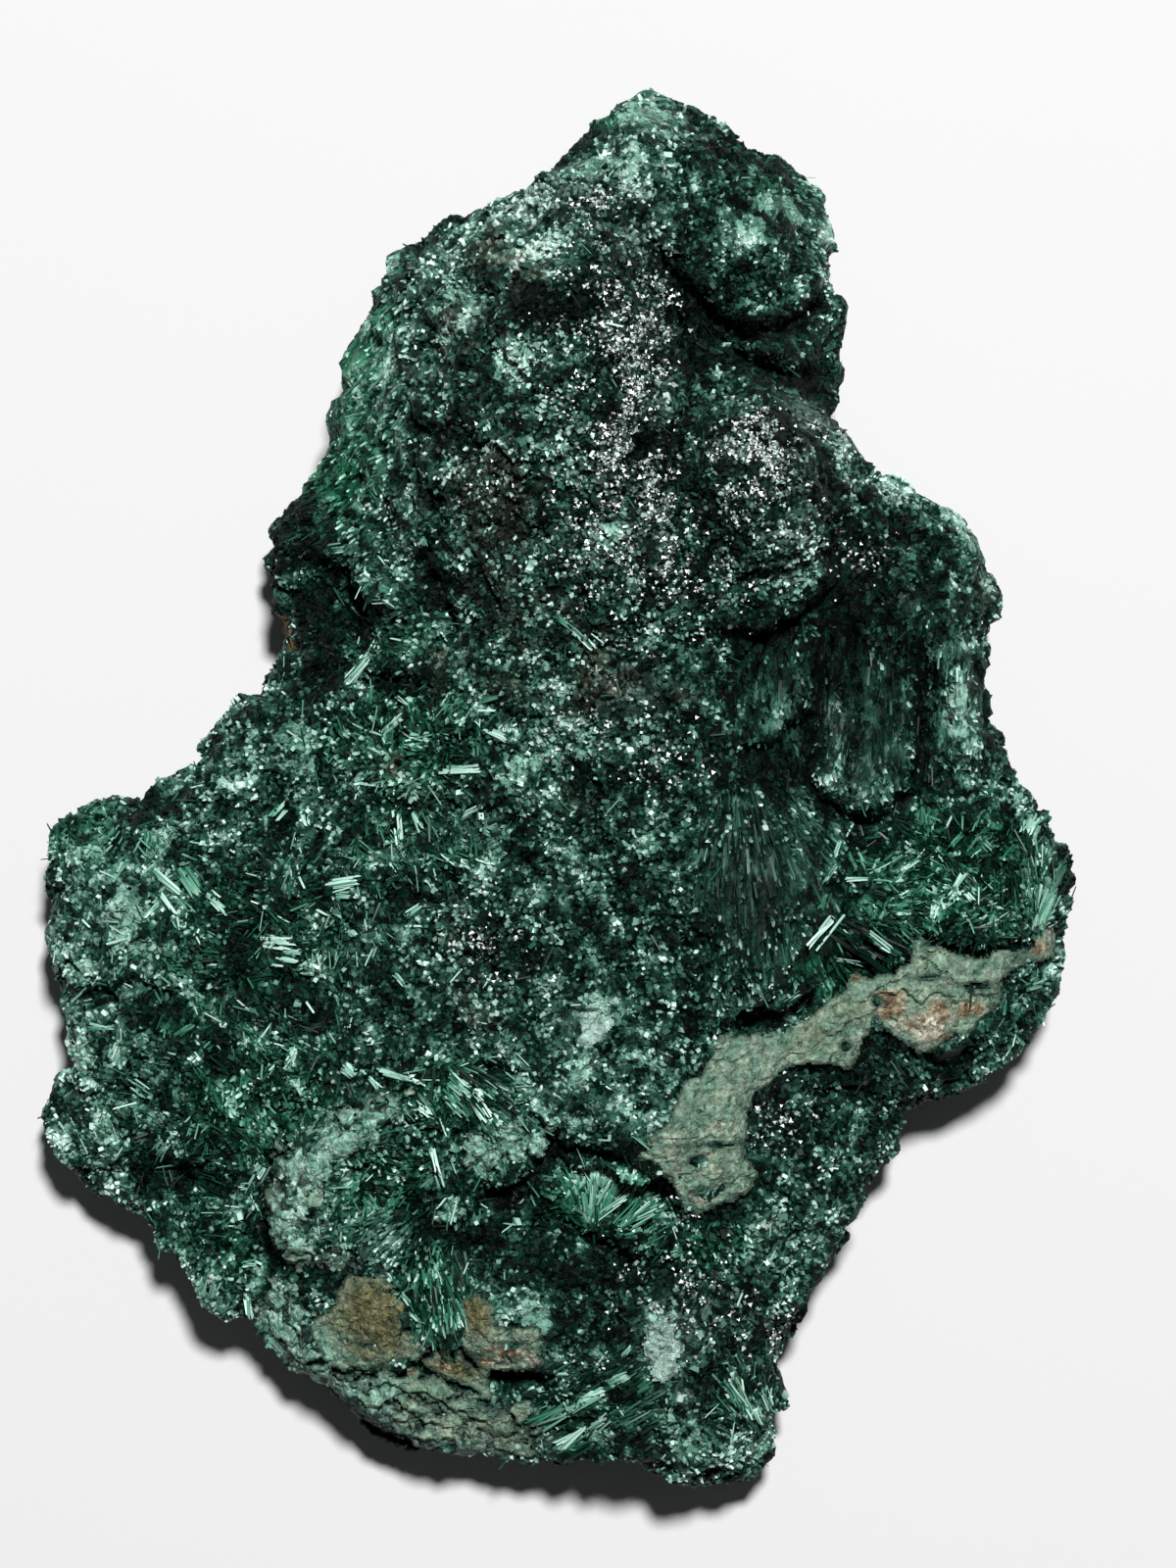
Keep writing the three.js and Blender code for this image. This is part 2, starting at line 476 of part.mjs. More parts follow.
// Join the mass and its needles, and cut the base where the specimen was trimmed and where it stands
let specimen = solidOf(relax(traceMass()));
COLUMNS.forEach((form, salt) => {
  specimen = specimen.add(columnSolid(form, salt));
});
for (const form of CREVICES) specimen = specimen.subtract(creviceSolid(form));
SPRAYS.forEach((form, salt) => {
  for (const needle of sprayNeedles(form, salt)) specimen = specimen.add(needle);
});
for (const [x, y, heading, slope] of BASE_BREAKS) {
  specimen = specimen.subtract(blockBelow(x, y, heading, slope));
}
specimen = specimen.subtract(blockBelow(0, 0, 0, 0));

const geometry = geometryOf(specimen);
geometry.computeBoundingBox();
const middle = geometry.boundingBox.getCenter(new THREE.Vector3());
geometry.translate(-middle.x, -middle.y, 0);

const malachite = new THREE.MeshStandardMaterial({ color: 0x16372c, roughness: 0.55, metalness: 0 });
const mesh = new THREE.Mesh(geometry, malachite);
mesh.name = "malachite_specimen";

const group = new THREE.Group();
group.add(mesh);

export default group;
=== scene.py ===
import math

import bmesh
import bpy
import numpy as np
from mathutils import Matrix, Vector, bvhtree, kdtree, noise


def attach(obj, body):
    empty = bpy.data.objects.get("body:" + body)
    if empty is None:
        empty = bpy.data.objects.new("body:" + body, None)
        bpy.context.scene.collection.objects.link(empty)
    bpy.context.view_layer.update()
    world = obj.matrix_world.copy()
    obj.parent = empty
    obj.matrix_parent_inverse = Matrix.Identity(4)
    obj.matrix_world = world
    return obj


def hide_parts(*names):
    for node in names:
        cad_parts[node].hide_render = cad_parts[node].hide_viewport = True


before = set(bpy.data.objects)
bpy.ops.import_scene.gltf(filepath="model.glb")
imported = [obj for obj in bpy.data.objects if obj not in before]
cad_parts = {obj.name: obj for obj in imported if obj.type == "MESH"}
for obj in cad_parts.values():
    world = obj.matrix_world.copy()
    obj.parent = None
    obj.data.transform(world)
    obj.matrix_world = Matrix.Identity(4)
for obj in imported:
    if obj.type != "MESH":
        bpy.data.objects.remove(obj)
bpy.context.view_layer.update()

MM = 0.001


# The mass. Malachite fibres packed side by side, grown outwards from hundreds of centres into one lump.
# Its skin is where the fibres are still joined, and it lies just below their free tips. The skin is broken
# into clumps and blocks by crevices, and fluted where the fibres lie in fans.
TIPS_STAND = 0.5 * MM  # how far the free tips stand above the skin
CLUMP_PITCH = 5.6 * MM  # spacing of the clumps
TUFT_PITCH = 2.3 * MM  # spacing of the centres that the fibres grew from
COARSE_CELL = 0.75 * MM  # wide enough to swallow the coarse needles of the solid
FINE_CELL = 0.52 * MM
MELTING_STEPS = 4


def smoothstep(low, high, value):
    share = np.clip((value - low) / (high - low), 0.0, 1.0)
    return share * share * (3.0 - 2.0 * share)


def unit(vectors):
    return vectors / np.maximum(np.linalg.norm(vectors, axis=1), 1e-12)[:, None]


def read_vectors(items, key):
    """The points or normals of a mesh, one row each."""
    values = np.empty(len(items) * 3, np.float32)
    items.foreach_get(key, values)
    return values.reshape(-1, 3).astype(float)


def add_attribute(mesh, name, values):
    layer = mesh.attributes.new(name, "FLOAT", "POINT")
    layer.data.foreach_set("value", np.asarray(values, np.float32))


def ray_tree(mesh, co):
    """The faces of a mesh as a tree that rays can be cast at."""
    faces = [tuple(face.vertices) for face in mesh.polygons]
    return bvhtree.BVHTree.FromPolygons([Vector(place) for place in co], faces)


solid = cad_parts["malachite_specimen"]
rough_mass = bpy.data.objects.new("rough_mass", solid.data.copy())
bpy.context.scene.collection.objects.link(rough_mass)
shell = bmesh.new()
shell.from_mesh(rough_mass.data)
bmesh.ops.remove_doubles(shell, verts=shell.verts, dist=1e-6)
shell.to_mesh(rough_mass.data)
shell.free()

# The coarse needles of the solid are melted away here, because finer ones grow in their place
coarse = rough_mass.modifiers.new("coarse", "REMESH")
coarse.mode = "VOXEL"
coarse.voxel_size = COARSE_CELL
melt = rough_mass.modifiers.new("melt", "SMOOTH")
melt.factor = 0.5
melt.iterations = MELTING_STEPS
shrink = rough_mass.modifiers.new("shrink", "DISPLACE")
shrink.strength = -TIPS_STAND
shrink.mid_level = 0.0
fine = rough_mass.modifiers.new("fine", "REMESH")
fine.mode = "VOXEL"
fine.voxel_size = FINE_CELL
depsgraph = bpy.context.evaluated_depsgraph_get()
mass_mesh = bpy.data.meshes.new_from_object(rough_mass.evaluated_get(depsgraph), depsgraph=depsgraph)
mass_mesh.name = "fibre_mass"

# Melting leaves a few crumbs of the coarse needles afloat, so only the mass itself is kept
whole = bmesh.new()
whole.from_mesh(mass_mesh)
islands = []
seen = set()
for start in whole.verts:
    if start in seen:
        continue
    seen.add(start)
    island = [start]
    for corner in island:
        for edge in corner.link_edges:
            other = edge.other_vert(corner)
            if other not in seen:
                seen.add(other)
                island.append(other)
    islands.append(island)
islands.sort(key=len)
bmesh.ops.delete(whole, geom=[corner for island in islands[:-1] for corner in island], context="VERTS")
whole.to_mesh(mass_mesh)
whole.free()
mass = bpy.data.objects.new("fibre_mass", mass_mesh)
bpy.context.scene.collection.objects.link(mass)
bpy.data.objects.remove(rough_mass)

skin = read_vectors(mass_mesh.vertices, "co")
skin_normals = read_vectors(mass_mesh.vertex_normals, "vector")
smooth_skin = ray_tree(mass_mesh, skin)

# Weathered rind lies on the fibres in scabs, and two chips of it are chalky. The fibres stay low where it
# lies, so the outlines are needed here: seen from above, in millimetres.
RIND_BAND = (
    (41.2, -11.1), (42.6, -10.9), (43.6, -11.9), (43.5, -13.3), (41.7, -13.9), (39.5, -14.4), (37.9, -15.4),
    (37.8, -16.8), (37.7, -17.4), (36.7, -18.7), (35.7, -19.7), (34.6, -19.9), (33.9, -20), (32.9, -21.2),
    (31.3, -21.6), (29.9, -20.7), (28.4, -19.7), (27, -18.4), (26.6, -19.7), (26.3, -20.7), (25.7, -22),
    (25.1, -23), (24.1, -22.7), (21.6, -22.3), (19.5, -22.7), (18.5, -24), (16.9, -25), (16.5, -26.5),
    (16.3, -28.5), (16, -30.3), (17, -31.3), (17.3, -32), (16.3, -33.3), (14.8, -34.1), (13.8, -34.3),
    (12.2, -35.1), (11.2, -34.1), (10.2, -32.3), (9, -31), (7.2, -30), (8.2, -28.3), (9.7, -27.3),
    (10.5, -25.2), (11, -24), (12.5, -23), (13.6, -21), (14, -20.2), (16, -20.1), (17.8, -19.8),
    (20.3, -19.4), (22.1, -18.3), (22.8, -17.4), (24.8, -16.2), (25.3, -14.9), (26.8, -15.2), (28.6, -14.9),
    (29.1, -14.7), (30.4, -13.7), (30.6, -12.2), (31.1, -11.8), (31.9, -12.4), (34.2, -13.2), (35.4, -13.7),
    (36.4, -13.7), (37.8, -12.8), (39.7, -13.3), (41, -12.9), (40.8, -11.9),
)
OLIVE_SCAB = (
    (-17.6, -40.4), (-15.9, -40.5), (-14.1, -40.6), (-13.2, -41.9), (-12.4, -42.8), (-12.8, -43.9),
    (-12.4, -44.8), (-11.5, -45.7), (-10.6, -47), (-11.1, -47.8), (-12.8, -47.6), (-14.5, -48.1),
    (-15.6, -48.7), (-17.6, -48.8), (-18.9, -48.1), (-20, -46.8), (-20.7, -44.8), (-20, -44.1),
    (-18.7, -43.7), (-18.1, -42.8), (-18.3, -41.9), (-17.6, -41.3),
)
BROWN_SCAB = (
    (-11.1, -47.8), (-10, -47.4), (-8.5, -46.4), (-7.8, -47.4), (-6.7, -48.6), (-5.4, -48.8), (-5.5, -49.8),
    (-5.4, -50.9), (-6.7, -50.2), (-8.4, -49.6), (-9.7, -48.9),
)
TAN_SCAB = (
    (-7.3, -42.4), (-6.2, -42.1), (-5, -43), (-4.7, -44.6), (-3.4, -44.9), (-1.6, -44.4), (-0.8, -45.2),
    (-1, -46.6), (-1.1, -48.1), (-2.8, -48.6), (-4.8, -48.5), (-6.2, -48.2), (-7.2, -46.8), (-7.9, -45.8),
    (-7.4, -44.4),
)
ARM_CRUST = (
    (-12.2, -25.8), (-13.4, -25.1), (-14.8, -25.6), (-15.6, -25.2), (-17, -26.4), (-18.4, -27.4),
    (-19.6, -28.4), (-21, -29.2), (-22.4, -30), (-22.6, -31.4), (-22.9, -33), (-23.8, -34.4),
    (-24.4, -35.6), (-23.9, -37.2), (-22.8, -38.6), (-21.4, -39.4), (-20, -39), (-20.4, -37.6),
    (-19.4, -36.6), (-20, -35), (-18.8, -34), (-18.9, -32.4), (-17.8, -31.2), (-16.4, -30.4),
    (-15.8, -29.2), (-14.4, -29), (-14.6, -27.6), (-13.2, -27.4),
)
RIM_CRUST = (
    (-7.2, -29.4), (-6, -28.6), (-4.6, -28.8), (-3.4, -27.6), (-2, -28), (-0.6, -27.6), (-0.4, -28.6),
    (-1.4, -29.8), (-2.4, -30.6), (-4, -30.2), (-5.4, -30.8), (-6.6, -30.4),
)
EDGE_STRIP = (
    (-24.4, -42.2), (-23.4, -41.2), (-22, -41.8), (-21.2, -43.4), (-21.2, -45.4), (-20.2, -47.2),
    (-19, -48.9), (-16.6, -49.3), (-14.4, -49.2), (-12, -49), (-9.8, -49.9), (-8, -50.6), (-6.4, -51.6),
    (-4.6, -52.6), (-3, -52), (-1.8, -52.4), (-1.6, -54.4), (-2.8, -56), (-5.2, -56.4), (-8.2, -56.6),
    (-10.6, -56), (-12.2, -54.8), (-14, -53.2), (-16.4, -52.1), (-18.8, -51.3), (-20.8, -50.1),
    (-22.2, -48.4), (-22.8, -46.8), (-24, -45.2), (-24.8, -43.8),
)
WHITE_CHIP = (
    (2.2, -17.6), (3.6, -17.8), (5.1, -18), (4.7, -19), (3.9, -20.8), (3, -20.9), (2, -20.6), (2.4, -19.2),
)
SOUTH_CHIP = (
    (8, -44.4), (9, -44.1), (10, -44.6), (10.2, -45.6), (10.9, -46.6), (10.5, -47.6), (10.3, -48.6),
    (9.4, -49.4), (8.7, -49), (8.4, -47.8), (7.5, -47.2), (7.7, -46),
)
# Where the crust has fallen through: middle, half sizes
CRUST_HOLES = (
    (24.7, -21, 0.35, 0.32), (27.4, -17.3, 0.32, 0.3), (35.8, -16, 1.1, 0.26), (31.7, -15.3, 0.7, 0.14),
    (12.2, -30.4, 0.5, 0.35), (12.8, -33.3, 0.5, 0.2), (14.3, -29.1, 1.2, 0.07), (-8.4, -47.2, 0.25, 0.5),
    (-3.4, -46.2, 0.4, 0.12), (-15.6, -46.4, 0.4, 0.12),
)
FIRM_SCABS = (RIND_BAND, OLIVE_SCAB, BROWN_SCAB, TAN_SCAB, WHITE_CHIP, SOUTH_CHIP)
CRUMBLY_SCABS = (ARM_CRUST, RIM_CRUST, EDGE_STRIP)


def inside_distance(outline, places):
    """How far each place lies inside an outline seen from above, negative outside, in metres."""
    ring = np.array(outline) * MM
    x, y = places[:, 0], places[:, 1]
    nearest = np.full(len(places), 1.0)
    inside = np.zeros(len(places), bool)
    for (ax, ay), (bx, by) in zip(ring, np.roll(ring, -1, axis=0)):
        ex, ey = bx - ax, by - ay
        along = np.clip(((x - ax) * ex + (y - ay) * ey) / (ex * ex + ey * ey), 0.0, 1.0)
        nearest = np.minimum(nearest, np.hypot(x - ax - ex * along, y - ay - ey * along))
        crosses = (ay > y) != (by > y)
        inside ^= crosses & (x < ax + (y - ay) * ex / (ey if ey else 1e-12))
    return np.where(inside, nearest, -nearest)


def noise_at(places, size, seed=0.0):
    """Smooth noise from -1 to 1, with features of about the given size. Each seed gives another pattern."""
    shift = Vector((seed, 2.7 * seed, -1.3 * seed))
    return np.array([noise.noise(Vector(p) / size + shift) for p in places])


def ragged(places, size, seed):
    """Noise with two finer octaves."""
    return (noise_at(places, size, seed) + 0.5 * noise_at(places, size / 2.1, seed + 3)
            + 0.25 * noise_at(places, size / 4.3, seed + 7)) / 1.3


def oval_at(x, y, oval, power=2):
    """A soft oval seen from above, 1 in its middle: middle and half sizes, in millimetres."""
    px, py, rx, ry = oval[:4]
    return np.exp(-((x - px) / rx) ** power - ((y - py) / ry) ** power)


def patches_at(places, patches, upward=1.0):
    """The strongest of a list of soft ovals: middle, half sizes and strength of each, in millimetres.
    They fade where the skin is steep, so that they don't run down the sides as stripes."""
    weight = np.zeros(len(places))
    x, y = places[:, 0] / MM, places[:, 1] / MM
    for patch in patches:
        weight = np.maximum(weight, patch[4] * oval_at(x, y, patch))
    return weight * upward


# The edges of the rind, in millimetres: how far in a crumbly scab is worn, how much, and how ragged all are
CRUMBLY_MARGIN = 0.6
CRUMBLY_WEAR = 2.4
EDGE_OVERLAP = 0.1
EDGE_WAVES = 0.3
EDGE_CHIPS = 0.35


def rind_depth(places):
    """How far inside the ragged edge of the rind each place lies."""
    depth = np.full(len(places), -1.0)
    for outline in FIRM_SCABS:
        depth = np.maximum(depth, inside_distance(outline, places))
    flat = places * (1, 1, 0)
    wear = ragged(flat, 1.5 * MM, 17.0)
    for outline in CRUMBLY_SCABS:
        margin = np.minimum(inside_distance(outline, places), CRUMBLY_MARGIN * MM)
        depth = np.maximum(depth, margin + CRUMBLY_WEAR * MM * wear)
    depth = depth + EDGE_OVERLAP * MM + EDGE_WAVES * MM * ragged(flat, 2.2 * MM, 11.0)
    depth = depth + EDGE_CHIPS * MM * ragged(flat, 0.8 * MM, 13.0)
    for hx, hy, rx, ry in CRUST_HOLES:
        out = np.hypot((flat[:, 0] / MM - hx) / rx, (flat[:, 1] / MM - hy) / ry) - 1.0
        depth = np.minimum(depth, out * min(rx, ry) * MM)
    return depth


def scatter_centres(pitch, seed):
    """Vertices of the skin in a random order, no nearer to each other than the pitch."""
    chosen = []
    taken = {}
    steps = (-1, 0, 1)
    for pick in np.random.default_rng(seed).permutation(len(skin)):
        place = skin[pick]
        cell = tuple((place // pitch).astype(int))
        around = [other for i in steps for j in steps for k in steps
                  for other in taken.get((cell[0] + i, cell[1] + j, cell[2] + k), ())]
        if all((skin[other][0] - place[0]) ** 2 + (skin[other][1] - place[1]) ** 2
               + (skin[other][2] - place[2]) ** 2 > pitch**2 for other in around):
            taken.setdefault(cell, []).append(pick)
            chosen.append(pick)
    return np.array(chosen)


def tree_of(centres):
    tree = kdtree.KDTree(len(centres))
    for i, centre in enumerate(centres):
        tree.insert(centre, i)
    tree.balance()
    return tree


def nearest_two(tree, places):
    """The nearest centre to each place, its distance, and how much farther the second one is."""
    found = [tree.find_n(p, 2) for p in places]
    first = np.array([f[0][1] for f in found])
    near = np.array([f[0][2] for f in found])
    far = np.array([f[1][2] for f in found])
    return first, near, far - near


# Fibres that lie in fans and bundles: centre and half sizes of each, the point that they spread from, the
# width of one flute and its depth, in millimetres, and how thickly long ribs cover it
FANS = (
    (18.5, -8.5, 6.5, 10, 15, 6, 0.9, 0.5, 0.25), (19, 8, 4, 7, 18, 40, 1.0, 0.4, 0.1),
    (26, 7, 4.5, 8, 27, 70, 1.2, 0.5, 0.06), (34, 8, 3.2, 8, 33, 70, 1.1, 0.4, 0.05),
    (-16, 38, 5, 14, 6, 52, 1.1, 0.45, 0.12), (-18, 26, 4, 7, 4, 34, 1.1, 0.4, 0.1),
    (5.5, -34, 4.5, 3.2, 3.6, -37.6, 0.7, 0.5, 0.6), (3, -52, 6, 4.5, -47, -85, 0.8, 0.5, 0.6),
    (17.4, -51.5, 3, 4, 20, -57, 0.8, 0.4, 0.8), (-9, -43, 3, 5, -12, -28, 0.8, 0.4, 0.3),
    (-6.5, -25, 3.5, 3, -9.5, -21.5, 0.7, 0.5, 0.6), (42, -8, 2.5, 5, 41, -13, 0.8, 0.5, 0.5),
    (-13, -37, 3, 3, -9, -33, 0.8, 0.35, 0.25), (26.5, -12.6, 3, 2.4, 20, -8, 1.3, 0.5, 0.9),
    (22, 50, 3, 6, 14, 52, 1.0, 0.3, 0.2), (21.6, 31.6, 4, 3, -20, 50, 0.8, 0.25, 0.2),
)
FAN_EDGE = 0.4  # strength of a fan at which its fibres take over the pattern of the skin
FIBRE_STRETCH = 3.2  # how far the pattern is drawn out along the fibres
FINE_FLUTES = 1.0  # flutes narrower than this, in millimetres, are drawn out long and fine
FLUTE_RUN = 7  # how many times as long as wide a flute runs before it wavers
FLUTE_GAIN = 1.6  # the noise seldom reaches 1, so the flutes are made this much deeper


def fan_pull(places):
    """The direction of the fans at each place seen from above, as long as the fan is strong there."""
    pull = np.zeros((len(places), 3))
    x, y = places[:, 0] / MM, places[:, 1] / MM
    for fan in FANS:
        from_x, from_y = fan[4:6]
        strength = oval_at(x, y, fan, 4)
        away = np.stack([x - from_x, y - from_y], 1)
        away /= np.maximum(np.linalg.norm(away, axis=1), 0.5)[:, None]
        pull[:, :2] += away * strength[:, None]
    size = np.linalg.norm(pull, axis=1)
    return pull / np.maximum(size, 1.0)[:, None]


def flutes_at(places):
    """Height of the flutes, from ridge to groove, in metres."""
    height = np.zeros(len(places))
    x, y = places[:, 0] / MM, places[:, 1] / MM
    for fan in FANS:
        px, py, _, _, from_x, from_y, pitch, depth, _ = fan
        strength = oval_at(x, y, fan, 4)
        near = strength > 0.02
        if not near.any():
            continue
        reach = np.hypot(px - from_x, py - from_y)
        around = np.arctan2(y[near] - from_y, x[near] - from_x) * reach / pitch
        out = np.hypot(x[near] - from_x, y[near] - from_y) / (FLUTE_RUN * pitch)
        ridges = np.array([noise.noise(Vector((a, o, px))) + 0.6 * noise.noise(Vector((2.3 * a, 1.6 * o, py)))
                           for a, o in zip(around, out)])
        height[near] += strength[near] * depth * MM * ridges * FLUTE_GAIN
    return height


def along_fibres(places):
    """Coordinates for the material: the place itself or, in a fan, one drawn out along the fibres."""
    drawn = places.copy()
    strongest = np.full(len(places), FAN_EDGE)
    x, y = places[:, 0] / MM, places[:, 1] / MM
    for fan in FANS:
        px, py, _, _, from_x, from_y, pitch = fan[:7]
        strength = oval_at(x, y, fan, 4)
        here = strength > strongest
        long, narrow = (FIBRE_STRETCH, 1.7) if pitch < FINE_FLUTES else (0.5 * FIBRE_STRETCH, 1.2)
        around = narrow * np.arctan2(y - from_y, x - from_x) * np.hypot(px - from_x, py - from_y)
        out = np.hypot(x - from_x, y - from_y) / long
        drawn[here, 0] = around[here] * MM
        drawn[here, 1] = out[here] * MM
        strongest = np.maximum(strongest, strength)
    return drawn


# Ledges: how high and how far back, then a line from above in millimetres. The side to the left of someone
# who walks along the line stands high, and the side to the right lies low, in its shadow.
LEDGES = (
    (2.6, 3.2, ((15.2, 14), (17.6, 14.2), (20, 15.2), (21.6, 16.6), (22.8, 18.6), (22.4, 22))),
    (2.2, 3.0, ((16, 4.2), (17.5, 4.2), (19, 5.2), (20.6, 6.2), (21.8, 7.6), (21.8, 12))),
    (2.2, 2.4, ((22, 7), (21.8, 2), (22.6, 0.2), (24, -0.4), (25.2, -1.1), (26.8, -1.4), (28.6, -0.8),
        (30.2, 0.6), (30.6, 3), (30.3, 9))),
    (3.2, 2.6, ((9.6, 44.6), (11.4, 42.6), (13.8, 40.4), (16.8, 39.3), (19.4, 39.9), (21.2, 41.6))),
    (2.4, 2.0, ((16.2, 37.2), (18, 36.2), (19.8, 35.6), (22.2, 36.4), (24.2, 37.4))),
    (1.4, 2.4, ((25.4, 30.4), (21.2, 33.6), (16.8, 35.6), (12.6, 35.2))),
    (1.8, 3.0, ((10.6, 32), (11, 35), (10.8, 38), (10.2, 41), (9.2, 43), (10.4, 46))),
    (0.9, 1.6, ((5.8, 54.8), (4.4, 54.2), (0, 54.4))),
    (1.0, 3.0, ((-8.6, 47), (-11, 44.6), (-12.8, 42), (-13.2, 38), (-11, 33.6), (-10.6, 30), (-10.2, 25),
        (-9.4, 21))),
    (1.8, 2.6, ((-18.6, 20), (-17.4, 19), (-16, 17.4), (-14.6, 15.2), (-15, 13.4), (-16, 11.4),
        (-17.8, 9.6))),
    (1.1, 2.0, ((-14.6, -23.4), (-12.4, -23.9), (-10.4, -23.9), (-9.6, -22.9), (-7, -22.8), (-4.8, -22))),
    (1.6, 2.5, ((-5.4, -33), (-3, -32.6), (-1.6, -31), (-0.8, -29.4), (0.2, -27.4))),
    (1.9, 3.0, ((0.4, -28.2), (1.6, -29.2), (3, -29.2), (5, -29.6), (7.8, -30.4), (9.6, -32),
        (10.8, -34.6))), (1.5, 2.4, ((1.2, -34.9), (3.2, -36.2), (5, -37), (6.4, -38.2), (9.6, -38.7))),
    (1.7, 2.5, ((-21.4, -46.4), (-18.6, -48.4), (-15.6, -49), (-13.2, -48.9), (-11.2, -47.4),
        (-8.6, -46.4))),
    (1.7, 2.2, ((-9.4, -46.6), (-7.8, -46.8), (-6.6, -48), (-4.8, -48.8), (-2.6, -48.4), (-0.8, -48.6))),
    (1.5, 2.0, ((-19.8, -50.6), (-17, -52.2), (-15, -53.6), (-12.4, -55.2), (-10.4, -56.2))),
    (1.1, 1.6, ((11, -57.8), (14, -57), (16, -57.1), (18, -56.4))),
    (1.3, 2.5, ((-42.8, -15.6), (-40.4, -16.2), (-38, -16), (-35.6, -15.4), (-33, -16))),
    (1.7, 2.5, ((31.4, -11.8), (33, -12.4), (34.8, -12.6), (36.6, -13.3), (38, -12.4), (41, -11.7))),
    (1.6, 3.5, ((16, -18.2), (17.6, -16.6), (19.4, -14.4), (21.4, -11.4), (23, -8), (24.6, -4),
        (25.8, -1.6))), (0.5, 2.0, ((9.4, -17), (12, -18), (15, -18.8), (17, -18))),
    (1.2, 2.0, ((24, -14.9), (26, -14.9), (28, -15.3), (30.4, -13.4))),
    (1.0, 2.0, ((-44, -24.6), (-41, -24.4), (-38.6, -25), (-36, -24.2))),
    (1.2, 2.0, ((12.4, -35), (14, -34.4), (15.4, -33.4), (17, -31.4), (17, -26), (17.6, -24.2),
        (20, -22.6))),
    (1.0, 2.0, ((20, -22.4), (22.6, -22.6), (25.4, -22.6), (26.2, -19.6), (28.4, -19.8), (32, -21.8),
        (35, -20.6), (37.8, -17.8))), (0.9, 2.0, ((33, 24.4), (34, 22.6), (35.6, 21.2), (37.4, 20.6))),
    (1.0, 1.8, ((-12, 20), (-9.6, 21.6), (-10, 24), (-7.4, 27.6))),
    (0.8, 2.0, ((-22, -14.8), (-19, -15.2), (-16, -15.8), (-14, -17))),
    (0.9, 2.0, ((-5, 4.6), (-2, 4), (0.4, 2.6), (3.4, 2.8), (6, 2.2))),
    (0.8, 2.0, ((-29, -0.4), (-26, -0.6), (-23, -0.4), (-20, 0.4))),
)
# Grooves and ribs: how deep or high, half how wide, and a line from above
FURROWS = (
    (-0.9, 0.5, ((25, 14), (25, 8), (24.9, 2))), (1.0, 1.5, ((33, 13), (33.6, 10), (34.6, 7), (35.2, 3.8))),
    (-1.5, 0.7, ((36.4, 11), (36.8, 8), (37.2, 5), (37, 2.8))),
    (-0.8, 0.9, ((25.6, 12.4), (27, 11), (28.2, 12))), (-1.0, 1.4, ((23.8, 22), (24, 18), (23.6, 15))),
    (0.6, 2.0, ((27.4, 7), (27.4, 4), (27.2, 1))), (0.8, 1.5, ((17, 37.9), (20.6, 38), (23, 39.2))),
    (-0.8, 1.4, ((12.4, 36.6), (12.8, 38.6), (12.4, 40.6))), (-1.4, 0.6, ((1, 55.2), (5, 55.4))),
    (-2.0, 0.6, ((-15.4, 9.7), (-13, 9.7), (-10.8, 9.3))),
    (-1.8, 0.6, ((-9.8, 18.3), (-8.4, 18), (-7.2, 17.3))),
    (-1.1, 0.7, ((-4.2, 7.4), (-2.6, 7), (-1.4, 6.7))),
    (0.9, 2.2, ((-15, -27), (-18, -28.8), (-20.4, -31.4))), (0.8, 2.0, ((-21.8, -34), (-22, -36.6))),
    (-1.2, 1.0, ((-23.2, -29.8), (-24.6, -33), (-25, -36), (-23.4, -39.4), (-21, -40.4))),
    (-1.2, 0.8, ((-10.4, -36), (-8.8, -36.8), (-7, -37.6))), (-1.4, 0.9, ((-4.6, -33.8), (-3, -33.8))),
    (-1.1, 0.7, ((2.4, -29.7), (5, -30.1), (8.2, -31.3), (9.8, -33.4))),
    (-1.4, 0.6, ((3.4, -37.2), (5.4, -38), (7, -39.2))),
    (-0.8, 0.5, ((-15, -49.6), (-12, -49.4), (-8.4, -49.8), (-5.6, -50.2))),
    (-1.6, 0.5, ((-8.2, -47.4), (-6.4, -49), (-4, -49.6), (-1, -49.4))),
    (-1.6, 0.7, ((-18.6, -51.2), (-15, -54), (-12, -55.6))),
    (-1.6, 1.2, ((17.4, -46.4), (19.4, -45.2), (22, -43.6))),
    (-1.6, 1.3, ((-33.4, -31.6), (-31, -32.8), (-28.6, -32.6))),
    (-1.4, 0.8, ((32, -12.7), (34.6, -13.3), (36.6, -14), (38.6, -13.2))),
    (-1.5, 0.7, ((24.4, -12.6), (26.4, -14.2), (28.2, -14.8))),
    (-1.0, 0.7, ((-43, -17), (-39, -17.4), (-36, -16.6))),
    (-1.2, 0.5, ((2.6, -27.6), (2.2, -26.2), (3.4, -26.6), (4, -28))), (-1.1, 0.7, ((8, -57), (10, -56.6))),
    (-0.8, 0.5, ((-14, -40.4), (-9, -38.4))), (0.8, 1.2, ((3, -17), (3, -20), (1.6, -23))),
    (0.8, 1.0, ((20.6, 13), (19.4, 9), (18, 6))), (-1.1, 0.8, ((-36, 0), (-33, -0.6), (-31, 0.4))),
    (-1.4, 1.0, ((-13.4, -8), (-11, -8.4))), (-1.2, 0.8, ((31, -21.6), (33.4, -22.8), (36, -21.6))),
    (-1.0, 0.8, ((26.6, 25), (29, 22.6), (33, 21))),
)


